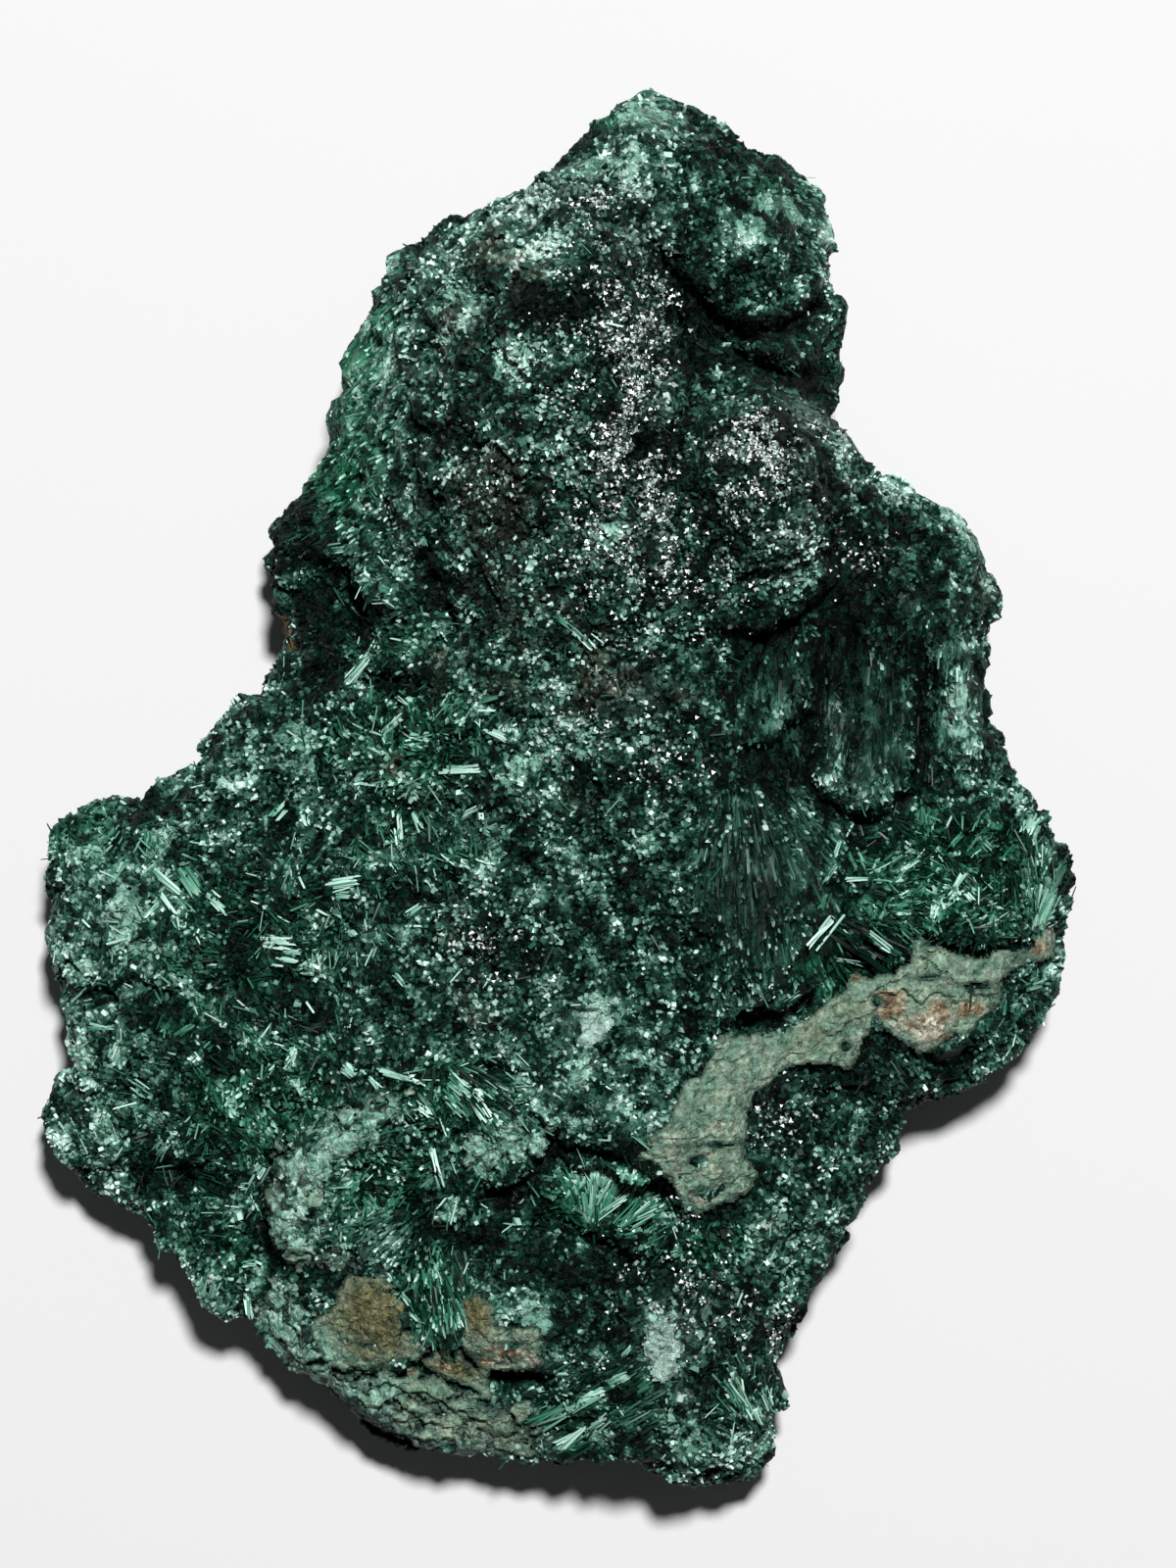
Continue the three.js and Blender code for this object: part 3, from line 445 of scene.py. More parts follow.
def beside(line, places):
    """How far left of a line each place lies, how far from the line, and how far beyond its ends."""
    points = np.array(line) * MM
    away = np.full(len(places), 1.0)
    left, beyond = np.zeros(len(places)), np.zeros(len(places))
    for (ax, ay), (bx, by) in zip(points[:-1], points[1:]):
        ex, ey = bx - ax, by - ay
        span = math.hypot(ex, ey)
        rx, ry = places[:, 0] - ax, places[:, 1] - ay
        along = (rx * ex + ry * ey) / span
        side = (ex * ry - ey * rx) / span
        past = np.maximum(np.maximum(-along, along - span), 0.0)
        distance = np.hypot(side, past)
        nearer = distance < away
        away = np.where(nearer, distance, away)
        left = np.where(nearer, np.sign(side) * distance, left)
        beyond = np.where(nearer, past, beyond)
    return left, away, beyond


# The face of a ledge: its run in millimetres, and how it flares beyond the ends of the line. Under it runs
# a groove: its depth as a share of the ledge's height, how far out it lies, and half its width.
LEDGE_RUN = 0.3
LEDGE_FLARE = 0.8
GROOVE_SHARE = 0.35
GROOVE_OFFSET = 0.6
GROOVE_WIDTH = 0.5


def sculpted(places):
    """How much the ledges and furrows raise each place, in metres."""
    rise = np.zeros(len(places))
    for height, reach, line in LEDGES:
        left, away, beyond = beside(line, places)
        side = np.tanh(left / (LEDGE_RUN * MM + LEDGE_FLARE * beyond))
        rise += 0.5 * height * MM * side * np.exp(-away / (reach * MM))
        off_groove = (left + GROOVE_OFFSET * MM) / (GROOVE_WIDTH * MM)
        rise -= GROOVE_SHARE * height * MM * np.exp(-off_groove ** 2 - (beyond / MM) ** 2)
    for height, half_width, line in FURROWS:
        _, away, _ = beside(line, places)
        rise += height * MM * np.exp(-(away / (half_width * MM)) ** 2)
    return rise


clump_centres = skin[scatter_centres(CLUMP_PITCH, 5)]
tufts = scatter_centres(TUFT_PITCH, 7)
tuft_centres = skin[tufts]
tuft_tree = tree_of(tuft_centres)
draw = np.random.default_rng(17)
tuft_step = draw.uniform(-0.45, 0.3, len(tufts))  # each block stands a little higher or lower, in millimetres
tuft_lean = draw.normal(size=(len(tufts), 3))
tuft_tone = draw.normal(0, 0.09, len(tufts))
# Where the fibres are fused and smooth, with few loose grains
CALM_PATCHES = (
    (21, 32, 6, 3.4, 1.0), (18.5, -8.5, 6.5, 9, 1.0), (26, 6, 5, 8, 1.0), (34, 7, 3, 7, 1.0),
    (18.6, 9, 4, 5, 0.9), (-16, 36, 4.5, 15, 0.8), (-20.6, -31, 3, 5, 0.5), (-17, -28, 3, 2, 0.5),
    (-22.6, -36, 2.4, 3, 0.5), (-4.4, -28.8, 4, 2.4, 0.5), (1, -25, 3, 3, 0.7), (3.6, -18.4, 2, 2.4, 0.8),
    (8, 57, 5, 3, 0.8), (19.6, 39, 3.6, 2, 0.9), (27, 1.4, 3.6, 3, 0.5), (36.4, 22.6, 2, 3, 1.0),
    (9.4, -46, 2.8, 4.6, 1.0), (-1.6, -45, 2, 4, 0.9), (-37, -10, 5, 4, 0.6), (-14, -51, 8, 3, 0.8),
    (-5, -54, 6, 3, 0.8), (19, 48, 4, 2, 0.7),
)

# Where the rind lies, where the skin is lively, and where the flat base is that the specimen rests on
on_rind = smoothstep(-0.1 * MM, 0.3 * MM, rind_depth(skin)) * smoothstep(-0.1, 0.25, skin_normals[:, 2])
bare = 1.0 - on_rind
lively = bare * (1.0 - 0.75 * patches_at(skin, CALM_PATCHES))
base = smoothstep(1.6 * MM, 0.8 * MM, skin[:, 2]) * smoothstep(-0.5, -0.8, skin_normals[:, 2])
sideways = smoothstep(0.9, 0.5, np.abs(skin_normals[:, 2]))

# The relief of the skin, in millimetres. It wavers, so the clumps and blocks have ragged sides.
WAVER = 0.7
CLUMP_RISE = 0.5
CREVICE_DEPTH = 1.0
CREVICE_WIDTH = 0.9
BLOCK_EDGE = 0.4
SEAM_DEPTH = 0.35
SEAM_WIDTH = 0.5
SIDE_LUMPS = 1.0
GRIT = 0.3
wavy = skin + WAVER * MM * np.stack([ragged(skin, 2.2 * MM, s) for s in (1.0, 2.0, 3.0)], 1)
_, from_clump, clump_seam = nearest_two(tree_of(clump_centres), wavy)
of_tuft, _, tuft_seam = nearest_two(tuft_tree, wavy)
lift = lively * CLUMP_RISE * MM * (1.0 - np.clip(from_clump / (0.9 * CLUMP_PITCH), 0.0, 1.0) ** 2)
crevice = 1.0 - smoothstep(0.0, CREVICE_WIDTH * MM, clump_seam)
lift -= lively * CREVICE_DEPTH * MM * crevice * smoothstep(-0.3, 0.4, ragged(skin, 4 * MM, 8.0))
lift += lively * tuft_step[of_tuft] * MM * smoothstep(0.0, BLOCK_EDGE * MM, tuft_seam)
lift += sideways * (SIDE_LUMPS * MM * ragged(skin, 3.4 * MM, 6.0) + 0.5 * lift)
lift -= lively * SEAM_DEPTH * MM * (1.0 - smoothstep(0.0, SEAM_WIDTH * MM, tuft_seam))
lift += bare * (GRIT * MM * (1.0 - 0.6 * sideways) * ragged(skin, 1.0 * MM, 4.0) + flutes_at(skin))
skin = skin + skin_normals * (lift * (1.0 - base))[:, None]
skin[:, 2] += sculpted(wavy) * smoothstep(0.05, 0.45, skin_normals[:, 2]) * (1.0 - 0.6 * on_rind)

# The base is broken a little rough, and nothing else reaches below it
BASE_ROUGHNESS = 0.35
BASE_CUT = 0.25
rubbed = BASE_ROUGHNESS * MM * (1.0 + ragged(skin, 3.0 * MM, 31.0))
flattened = np.clip(rubbed - BASE_CUT * MM, 0.0, None)
skin[:, 2] = np.where(base > 0.5, flattened, np.maximum(skin[:, 2], 0.0))
mass_mesh.vertices.foreach_set("co", skin.astype(np.float32).ravel())
mass_mesh.update()
skin_normals = read_vectors(mass_mesh.vertex_normals, "vector")
final_skin = ray_tree(mass_mesh, skin)


# Where the colours lie. Chalky mint bloom sits in patches, brown stain in a few hollows, sparkling druse on
# the ridge and the dome, and the freshest fibres are emerald.
MINT_PATCHES = (
    (8, 57.5, 4, 2.4, 0.9), (5, 52.5, 5, 2, 0.8), (16.5, 47.4, 1.4, 1.0, 1.4), (18.2, 49.6, 2.6, 0.7, 1.3),
    (20.4, 48.6, 1.4, 0.7, 1.1), (23.4, 48.6, 1.0, 2.4, 0.9), (-3, 36, 2.4, 3, 0.8), (-14, 37, 2, 3, 0.4),
    (5, 21.5, 2.4, 2.4, 0.8), (-9, 42, 2.6, 2, 0.6), (-11.5, 20.5, 2.6, 1.6, 0.6), (-14.5, 42, 3, 3, 0.4),
    (3.7, -18.2, 1.2, 1.8, 1.3), (2, -23, 2.4, 2.4, 0.7), (-4.5, -29, 4.2, 2.2, 1.0),
    (9.4, -46, 1.8, 3.2, 1.3), (10.6, -53, 3, 2, 0.8), (18, -55, 2.4, 1.6, 0.9), (-36.5, -9, 4, 2.4, 0.9),
    (-36, -12.5, 3.2, 2.4, 0.9), (-40, -15, 2, 1.4, 1.2), (-35.5, -16.6, 2, 1, 0.9),
    (-41, -22, 2.2, 2.6, 0.9), (-37, -22, 2, 1.6, 0.7), (-38, -27, 3, 2.4, 0.7), (-20, -31.5, 3, 4, 1.1),
    (-17.6, -28.6, 2.6, 1.8, 0.9), (-22.6, -36.4, 1.8, 2, 1.0), (34.4, 7.4, 1.6, 4.4, 0.8),
    (35.8, 22, 2, 3, 0.8), (8, -4, 1.5, 0.9, 1.3), (-2, 3, 2.8, 1.2, 1.0), (-3, 1.6, 2.4, 1, 0.8),
    (-4.6, -4.6, 1, 1.2, 0.8), (1.6, -4.6, 1.2, 0.8, 0.9), (-24, 4, 4, 3, 0.5), (27, 1.4, 2.4, 1, 0.4),
    (24, 3.6, 1.2, 3.4, 0.5), (41, -2.6, 1, 1.4, 1.0), (41.8, -9, 0.8, 3, 1.1),
    (-1.4, -44.2, 1.3, 2.2, 1.4), (-1.6, -47.4, 1, 0.9, 1.2), (1.6, 52.2, 2.2, 1.2, 0.7),
    (-2, 51, 2.4, 2, 0.7), (-6.6, 47.4, 2.4, 2, 0.7), (-12.6, 45.6, 2.4, 2, 0.7), (-16, 41, 1.6, 4, 0.6),
    (-16.6, 33, 1.8, 4, 0.6), (-12.6, 28, 1.4, 3, 0.5), (12.4, 34, 1.6, 2.4, 0.5),
    (20.4, 27.6, 1.4, 2.2, 0.5), (-22, 5, 3, 1.8, 0.8), (-27, 1.2, 2.4, 1.4, 0.6), (3, 3.6, 2, 1.2, 0.7),
    (-8, -24.6, 3, 1.2, 0.6), (0.4, -27, 2.6, 1.4, 0.7), (-5.2, -31.2, 2, 1.2, 0.9), (-13, -30, 2, 1, 0.7),
    (-19, -26.6, 2, 1, 0.6), (-11, -39.4, 2, 0.9, 0.7), (8, -22, 2, 2, 0.6), (6, -26, 3, 1.2, 0.6),
    (-33, -4, 2.4, 1.4, 0.7), (-40.4, -5, 1.6, 2.4, 0.7), (-42.4, -12, 1, 3, 0.6),
    (-34, -27.6, 2, 1.2, 0.6), (-24, -47, 1.2, 3, 0.9), (-20.4, -50, 2.4, 1, 0.8),
    (-4.5, -44, 1.2, 1.4, 0.8), (-20.4, -44.6, 1.2, 1, 0.7), (4, -54.4, 2, 1, 1.0),
    (3.4, -50.8, 1.4, 0.7, 1.0), (-9, -35.4, 1.6, 0.6, 0.9), (11.4, -55.5, 1.2, 1.6, 0.9),
    (24, -31, 1.4, 4, 0.5), (22, -38, 1.6, 3, 0.4), (-29, -5.6, 1.6, 1.6, 0.6), (1, 29, 1.6, 2.4, 0.5),
)
BROWN_PATCHES = (
    (-4, 44, 5, 4, 0.7), (-4, 24, 5, 6, 0.85), (3.5, 10, 4.6, 5, 0.75), (-7, -1, 5, 3, 0.45),
    (-13, 2.6, 1.6, 1, 0.8), (-8, -12, 2, 1.2, 0.6), (-1.5, 14, 5, 4, 0.55), (-9, 11, 3, 2.4, 0.5),
    (-18.6, -24, 1.2, 0.8, 0.8), (12.5, -51, 2.6, 2.4, 0.5), (1.6, 0, 3, 2, 0.55),
    (28.6, 25.7, 2.4, 2, 0.5), (30, 16, 2.4, 2, 0.45), (-7.6, 38.2, 3, 3, 0.6), (-3.3, 9.2, 3, 2.4, 0.65),
    (-5.8, -18.9, 3, 3, 0.5), (-4.4, 18.6, 3.6, 3, 0.7), (9.9, 8.5, 2.4, 2.4, 0.5),
    (17.1, -8.7, 3, 5, 0.45), (22.3, 7.6, 2, 3, 0.4), (36.8, 17.1, 1.6, 2.4, 0.45), (-17.7, -39, 2, 2, 0.4),
    (3.3, -22, 2, 2, 0.4), (17.5, -36.7, 2.4, 2.4, 0.4), (-10.9, 0.2, 3, 2, 0.4),
)
STAIN_PATCHES = ((-23, 14.6, 0.9, 1.1, 1.2), (-22.4, 12.8, 0.7, 0.8, 0.9))
EMERALD_PATCHES = (
    (-17, 40, 4, 10, 1.0), (-18, 28, 4, 6, 1.0), (-12, 5, 7, 6, 0.8), (-10, -4, 8, 6, 0.4),
    (-27, -12, 10, 9, 0.6), (-9, -25, 6, 4, 0.8), (5, -34, 6, 3.4, 1.4), (33, -7, 10, 7, 0.9),
    (24, -14, 5, 3, 1.2), (16, -10, 5, 8, 0.4), (-14, -32, 8, 5, 0.7), (0, -53, 8, 4, 0.6),
    (20, 51, 4, 4, 0.5), (3, 57, 3, 3, 0.9), (21, 9, 2, 6, 0.2), (40, -22, 4, 5, 0.5),
    (-28, -38, 6, 6, 0.6), (13, -38, 5, 3, 0.8), (-10, -42, 3, 6, 1.1), (-40, -3, 4, 4, 0.8),
    (-13, 13, 4, 3, 0.6), (-26, -26, 8, 6, 0.8), (7, -50, 3, 2, 0.6),
)
DRUSE_PATCHES = (
    (6.5, 40, 4.5, 12, 1.0), (7, 26, 5, 10, 1.0), (0, 50, 6, 4, 0.8), (17, 26, 7, 7, 1.0),
    (23, 27, 4, 4, 0.6), (7, 9, 6, 5, 0.6), (-5, -13, 7, 6, 0.5), (12, -44, 8, 6, 0.6), (28, 20, 6, 5, 0.5),
    (20, -28, 4, 6, 0.5), (24, 5, 7, 8, 0.62), (16.5, -8, 6, 8, 0.6), (12, -50, 4, 4, 0.5),
    (0, -17, 4, 4, 0.45),
)
SAGE_PATCHES = (
    (-20, -48.6, 4, 2.4, 1.0), (-14, -50.6, 5, 1.6, 1.2), (-9, -53, 6, 2.6, 1.2),
    (-4.6, -54.4, 4.4, 2.4, 1.2), (-12, -52, 5, 1.6, 1.0), (21.8, 31.8, 3.4, 2, 0.9),
    (25, 30.6, 1.6, 1.6, 0.8), (27, 1.2, 3.4, 2.2, 0.35), (19.4, 6.6, 2, 1.6, 0.4), (23.4, 3, 1.2, 4, 0.5),
    (-22.4, -34.6, 2, 3.6, 1.0), (-21.4, -31.4, 1.6, 2, 0.9), (-24, -43.4, 2, 2, 0.8),
    (-10.6, 45, 2.4, 3, 0.5), (14, -56.6, 3, 1, 0.5), (-14, -26.4, 2, 1.6, 0.6),
    (36.6, 22.6, 1.6, 2.4, 0.9), (-22, -38.4, 1.6, 1.4, 0.9), (-3.6, 47.4, 2, 2, 0.4),
    (36.4, -1, 2, 1, 0.4), (-18, -39.4, 2.4, 1, 0.9), (19.6, 39.4, 3, 1.6, 0.6),
    (-22, -46.4, 1.6, 2.6, 0.9), (1.4, -20, 1.6, 3, 0.5), (-33, -13, 2, 1.4, 0.4), (26, -8, 1, 1, 0.3),
)
# Larger areas painted pale or dark: painted light on bright crests, and painted shade in hollows
PAINTED_LIGHT_PATCHES = (
    (-37, -10, 7, 7, 0.5), (-30, 0, 5, 5, 0.25), (-16, 36, 4.5, 16, 0.5), (-24, 4, 6, 4, 0.3),
    (-40, -22, 4, 6, 0.4), (-20, -32, 5, 6, 0.4), (8, 55, 6, 4, 0.4), (-2, 46, 6, 4, 0.3),
    (34.5, 7, 2.6, 8, 0.4), (0, -22, 5, 5, 0.3), (23, -34, 3, 8, 0.25), (27, 0, 4, 3, 0.1),
    (-28, -42, 3, 3, 0.4), (16, -55, 5, 3, 0.3), (37, 22, 3, 4, 0.3), (-22, -18, 6, 4, 0.2),
    (8, -2, 3, 2, 0.2), (8, 30, 3, 3, 0.4), (-2, 35, 3, 3, 0.4), (-8, 24, 3, 4, 0.3), (3, 9, 4, 3, 0.3),
    (-2, -8, 3, 3, 0.3), (5, -33, 5, 3, 0.4), (19.4, 28, 2, 4, 0.5), (21.4, 21, 1.8, 3, 0.4),
    (-10, 44, 4, 4, 0.4), (5.4, 24, 4, 5, 0.3), (3, -20, 4, 5, 0.4), (6, -27, 5, 3, 0.4),
    (9.6, -48, 3, 6, 0.5), (-13, -50, 9, 3, 0.5), (-4, -54, 6, 3, 0.4), (2, 5, 7, 4, 0.25),
)
PAINTED_SHADE_PATCHES = (
    (15.6, 39.2, 3.4, 1.2, 0.9), (18, 44, 4, 1.6, 0.5), (20.4, 35.2, 3, 0.8, 0.6), (11, 44, 2.4, 5, 0.5),
    (21, 46, 3, 2, 0.4), (19, 14, 7, 1.6, 1.0), (22.5, 10, 1.2, 5, 0.7), (29, 8, 1.4, 8, 0.6),
    (31.6, 12, 1.4, 7, 0.6), (18, 3, 3, 3, 0.4), (-20, 12, 4, 6, 0.7), (-15.5, 14, 2.4, 2.4, 0.8),
    (-8, 17, 3, 1.4, 0.5), (-13, 9, 3, 0.8, 0.8), (4.5, -30, 7, 1.4, 0.9), (-4, -33.6, 1.6, 1.2, 1.0),
    (-8, -36.8, 2.4, 1, 1.0), (1, -40, 7, 4, 0.5), (-28, -32, 3, 2.4, 0.6), (-32, -32.5, 2, 1.4, 0.8),
    (26, -12.6, 4, 1.6, 0.5), (35, -11.6, 5, 1.4, 0.7), (27, 24, 2, 5, 0.4), (22, -46, 3, 3, 0.4),
    (-7, -48.8, 3, 0.8, 0.8), (12, -18, 3, 3, 0.3), (24, 16, 6, 4, 0.4), (0, -35, 3, 3, 0.4),
    (-27, -13, 3, 4, 0.4), (10, 30, 5, 6, 0.2), (-2, 30, 4, 5, 0.2), (-35, -18, 3, 1.4, 0.3),
    (19, -18, 4, 1, 0.5), (30, -24, 8, 2.4, 0.3), (14, 36, 3, 2, 0.4), (-3, 54, 2, 2, 0.3),
    (12, 7, 3, 3, 0.2), (4, 47, 2, 2, 0.3),
)

# Soft patches that are paler or darker than their surroundings: centre, half sizes and change of tone. They
# are partly the fibres' own tone and partly painted light and shade: painted shadows under the lips of the
# crown's blocks, and painted light on rims that face away from the lamp.
TONE_AND_PAINTED_SHADING = (
    (1.3, 55, 2.4, 1.6, -0.3), (8.8, 28, 2, 2.4, -0.5), (-8.8, 29.8, 2.6, 2.6, -0.32),
    (19.4, 29.2, 2, 1.8, -0.42), (22.2, 24.6, 1.8, 2.4, -0.42), (4.5, -36.6, 3.4, 1.2, -0.25),
    (-20.6, 20.8, 2.8, 2.8, -0.34), (22.4, -30, 2.4, 3.4, -0.28), (13.2, 54, 2.6, 1.6, -0.5),
    (-24.9, -14, 3.4, 3.2, -0.22), (6, 0.6, 2.8, 2, -0.32), (36, 10.6, 1.4, 2, -0.2),
    (27.6, 20.4, 2.4, 2, -0.2), (0.4, 39.8, 3.6, 2, -0.5), (34.2, -3, 2.2, 2, -0.26),
    (19.8, 11, 1.4, 2.2, -0.2), (12.2, 20.6, 2.2, 2.2, -0.28), (-27.5, -19.4, 2.4, 2, -0.18),
    (-19.8, -18, 2, 2.4, -0.34), (-14.2, -31.8, 2.4, 1.8, -0.28), (7, -49, 2, 2, -0.16),
    (-27.7, -1.2, 2.2, 1.6, -0.3), (15.4, 7.8, 1.6, 2.4, -0.16), (-27.4, -36.8, 2, 2, -0.26),
    (2.2, -48, 1.6, 1.4, -0.14), (39.4, -6, 2, 2.6, -0.12), (-23.4, 22.4, 1.6, 2, -0.12),
    # The next eight are painted shadows under the lips of the crown's blocks
    (12, 42.4, 1, 1, -0.3), (14, 40.4, 1.4, 0.8, -0.35), (17, 38.9, 2, 0.7, -0.35),
    (20.2, 40, 1.4, 0.8, -0.3), (22.4, 42, 1.4, 0.8, -0.25), (18, 36.5, 1.4, 0.7, -0.3),
    (20.6, 35.3, 1.6, 0.7, -0.3), (23, 36.6, 1.8, 1.2, -0.2), (-5.6, -6.2, 2, 2.2, 0.46),
    (-2.6, 49.4, 2.4, 2, 0.46), (-2.6, 45.4, 2.4, 1.4, 0.24), (-13.9, 36, 1.4, 2, 0.32),
    (-20.9, -49.8, 1.6, 1.4, 0.2), (7, -33.6, 2, 1, 0.24), (23.1, 47.3, 1.6, 2.2, 0.5),
    (29.2, 26, 3, 1.6, 0.5), (-2, 4, 2.2, 1.6, 0.36), (34, 24, 2, 1.6, 0.42),
    (-42.8, -31.4, 2.6, 2.2, 0.38), (-31.4, -43.8, 2.2, 2.2, 0.64), (-1.3, 8.4, 1.8, 1.8, 0.18),
    (18.2, -39.4, 2, 1.6, 0.14), (-13.8, 24.4, 1.8, 2.6, 0.18), (4.6, -31.2, 2.8, 1.2, 0.7),
    (38.2, -23.8, 2.6, 2, 0.34), (6.2, 51.2, 2, 1.6, 0.3), (12, -52.6, 2.2, 2, 0.16),
    (16, 45.7, 2, 1.3, 0.42), (8, 7, 2.2, 1.6, 0.28), (-12.8, 19.4, 1.6, 1.6, 0.28),
    (0.8, 29, 1.8, 2, 0.16), (42.4, -16, 1.6, 2.4, 0.34), (5.2, 30.8, 1.8, 2, -0.6),
    (9.8, 34.8, 1.8, 1.8, -0.44), (-22, -1.4, 2, 1.6, -0.18), (2.9, 5.4, 1.6, 1.4, -0.16),
    (-11, 47, 1.6, 1.6, -0.16), (-9.8, -17.1, 2, 2, -0.15), (7.8, -24.4, 1.8, 1.8, -0.15),
    (-1.2, -21.4, 1.6, 1.6, -0.15), (-18.9, 28.4, 1.6, 1.8, -0.14), (12.8, -20.3, 1.6, 1.2, 0.28),
    (-7.7, -34.8, 1.8, 1.2, 0.18), (-28.5, -31, 1.8, 1.4, 0.36), (-28.9, -26.4, 1.4, 1.2, -0.16),
    (-0.2, -15.6, 1.8, 1.8, 0.18), (17.2, -6.2, 1.4, 2, 0.32), (13, -31.8, 1.4, 1.6, 0.42),
    (-24, -26.8, 2, 1.6, 0.16), (-42, -16.8, 1.4, 1.8, 0.15), (33.2, 6.4, 1.4, 1.6, 0.26),
    (-1.3, 38.7, 2.2, 1.8, -0.65), (-4.4, -10.7, 2.2, 1.8, -0.3), (18.3, 29.9, 1.8, 1.6, -0.55),
    (-35.2, -2, 1.8, 1.8, -0.22), (-35.2, -7.4, 1.8, 1.8, -0.2), (4.3, 40.3, 1.6, 1.4, -0.5),
    (18.1, -24, 1.8, 1.6, -0.18), (7.8, 2.9, 1.6, 1.6, -0.18), (4.2, -9.7, 1.6, 1.6, -0.18),
    (19.8, 52.9, 1.6, 1, -0.16), (2.8, 56.3, 1.6, 1.2, -0.16), (8.2, 26.8, 1.6, 1.6, -0.42),
    (9.5, 15.6, 1.6, 1.8, -0.2), (13.9, 18.4, 1.4, 1.4, -0.14), (13.6, 52, 1.6, 1.2, -0.15),
    (-7.6, 29.3, 1.8, 1.8, -0.15), (9.1, -17.1, 1.8, 1.8, -0.15), (22.4, 22.6, 1.4, 1.6, -0.28),
    (-27.3, -41.2, 1.6, 1.6, -0.14), (-17.7, 22.8, 1.4, 1.8, -0.14), (37.4, -17.1, 1.6, 1.4, -0.14),
    (37.9, -8.9, 1.4, 1.4, -0.14), (-1.2, 43.7, 2, 1.4, 0.44), (23, 6.8, 1.2, 2, 0.34),
    (29.4, 4, 1.2, 1.8, 0.32), (-11.8, 25.1, 1.4, 1.6, 0.2), (-5.1, -42, 1.6, 1.6, 0.2),
    (3.3, 9.6, 1.8, 1.6, 0.18), (-11.8, 20.4, 1.4, 1.4, 0.14), (24.4, -23.4, 1.6, 1, 0.16),
    (8.3, 59, 2, 1.2, 0.3), (24.8, 29.5, 1.6, 1.6, 0.54), (-33, -40.4, 1.8, 1.6, 0.66),
    (-22.6, -50.6, 1.6, 1.6, 0.3), (39.4, 0.8, 1.8, 1.8, 0.25), (-9.5, -41, 1.8, 1.8, 0.38),
    (21.4, -19, 1.8, 1.2, 0.36), (19.8, 18, 1.6, 1.6, 0.32), (-7.1, 38.6, 1.8, 2, 0.36),
    (17.8, -35.4, 2, 1.8, 0.4), (-23.3, 13.4, 1.6, 2, 0.36), (-4, -27.6, 2, 1.2, 0.3),
    (-14.7, -19.8, 1.8, 1.6, 0.22), (-2.9, 34.7, 1.8, 2, 0.32), (-15.8, 8.9, 1.6, 1.2, 0.3),
    (-37.3, -31.4, 2, 1.6, 0.2), (2, 27, 1.6, 1.8, 0.18), (-33.4, -13.4, 2, 2, -0.16),
    (-14.8, -3.4, 2, 1.8, -0.26), (1.6, -11.4, 2.4, 2, -0.24), (1, -8.6, 1.6, 1.4, -0.16),
    (37.6, -8, 1.8, 1.8, -0.12), (6, 13.8, 1.8, 1.8, -0.2), (-12.5, 4.6, 1.6, 1.6, -0.16),
    (6.8, -4, 1.6, 1.6, -0.16), (-37, -9.8, 2, 1.8, -0.12), (-1.4, -41.8, 1.8, 1.8, 0.26),
    (8.6, -58.4, 3, 1, 0.16), (-23.4, 10, 2, 2, 0.1), (-17.6, 37.6, 2.4, 4, 0.1),
    (-24.6, -30.4, 2, 2, 0.12),
)


def tone_and_painted_shading_at(places, upward=1.0):
    """The changes of tone added up, partly painted light and shade."""
    change = np.zeros(len(places))
    x, y = places[:, 0] / MM, places[:, 1] / MM
    for patch in TONE_AND_PAINTED_SHADING:
        change += patch[4] * oval_at(x, y, patch)
    return change * upward


def worn_patches(places, patches, low, high, wear, size, seed, upward=1.0):
    """Soft ovals with ragged edges, from 0 to 1: how much they are worn, and how large the breaks are."""
    return smoothstep(low, high, patches_at(places, patches, upward) + wear * ragged(places, size * MM, seed))


def mint_field(places, upward=1.0):
    """Above a half where the bloom lies."""
    fleck = 0.55 * ragged(places, 2.8 * MM, 51.0) + 0.45 * ragged(places, 1.1 * MM, 57.0)
    share = patches_at(places, MINT_PATCHES, upward) + 0.25 * (1.0 - upward) + 0.9 * fleck - 0.6
    return np.clip(0.5 + 1.2 * share, 0.0, 1.0)


def mint_at(places, upward=1.0):
    return smoothstep(0.46, 0.54, mint_field(places, upward))


def brown_at(places, upward=1.0):
    return worn_patches(places, BROWN_PATCHES, 0.25, 1.0, 0.6, 2.0, 61.0, upward)


def emerald_at(places, upward=1.0):
    return worn_patches(places, EMERALD_PATCHES, 0.15, 1.0, 0.4, 3.4, 71.0, upward)


def sage_at(places, upward=1.0):
    return worn_patches(places, SAGE_PATCHES, 0.3, 0.8, 0.35, 2.2, 75.0, upward)


def druse_at(places, upward=1.0):
    return worn_patches(places, DRUSE_PATCHES, 0.25, 0.7, 0.3, 2.4, 91.0, upward)


def tone_at(places, upward=1.0):
    """How pale the fibres are: 0 nearly black, 1 nearly white, with painted light and shade added to their
    own tone.
    """
    tone = 0.44 + 0.5 * patches_at(places, PAINTED_LIGHT_PATCHES, upward)
    tone = tone - 0.42 * patches_at(places, PAINTED_SHADE_PATCHES, upward)
    tone += np.clip(110.0 * sculpted(places), -0.35, 0.25)  # painted shade in grooves and below ledges, painted light on their raised sides
    patchy = 1.0 - 0.5 * patches_at(places, CALM_PATCHES)
    mottle = 0.3 * ragged(places, 4.2 * MM, 41.0) + 0.5 * ragged(places, 1.8 * MM, 47.0)
    return tone + tone_and_painted_shading_at(places, upward) + patchy * mottle


def rgb(red, green, blue):
    """An sRGB colour in 0 to 255 as linear light."""
    def linear(value):
        value /= 255
        return value / 12.92 if value <= 0.04045 else ((value + 0.055) / 1.055) ** 2.4
    return (linear(red), linear(green), linear(blue), 1.0)


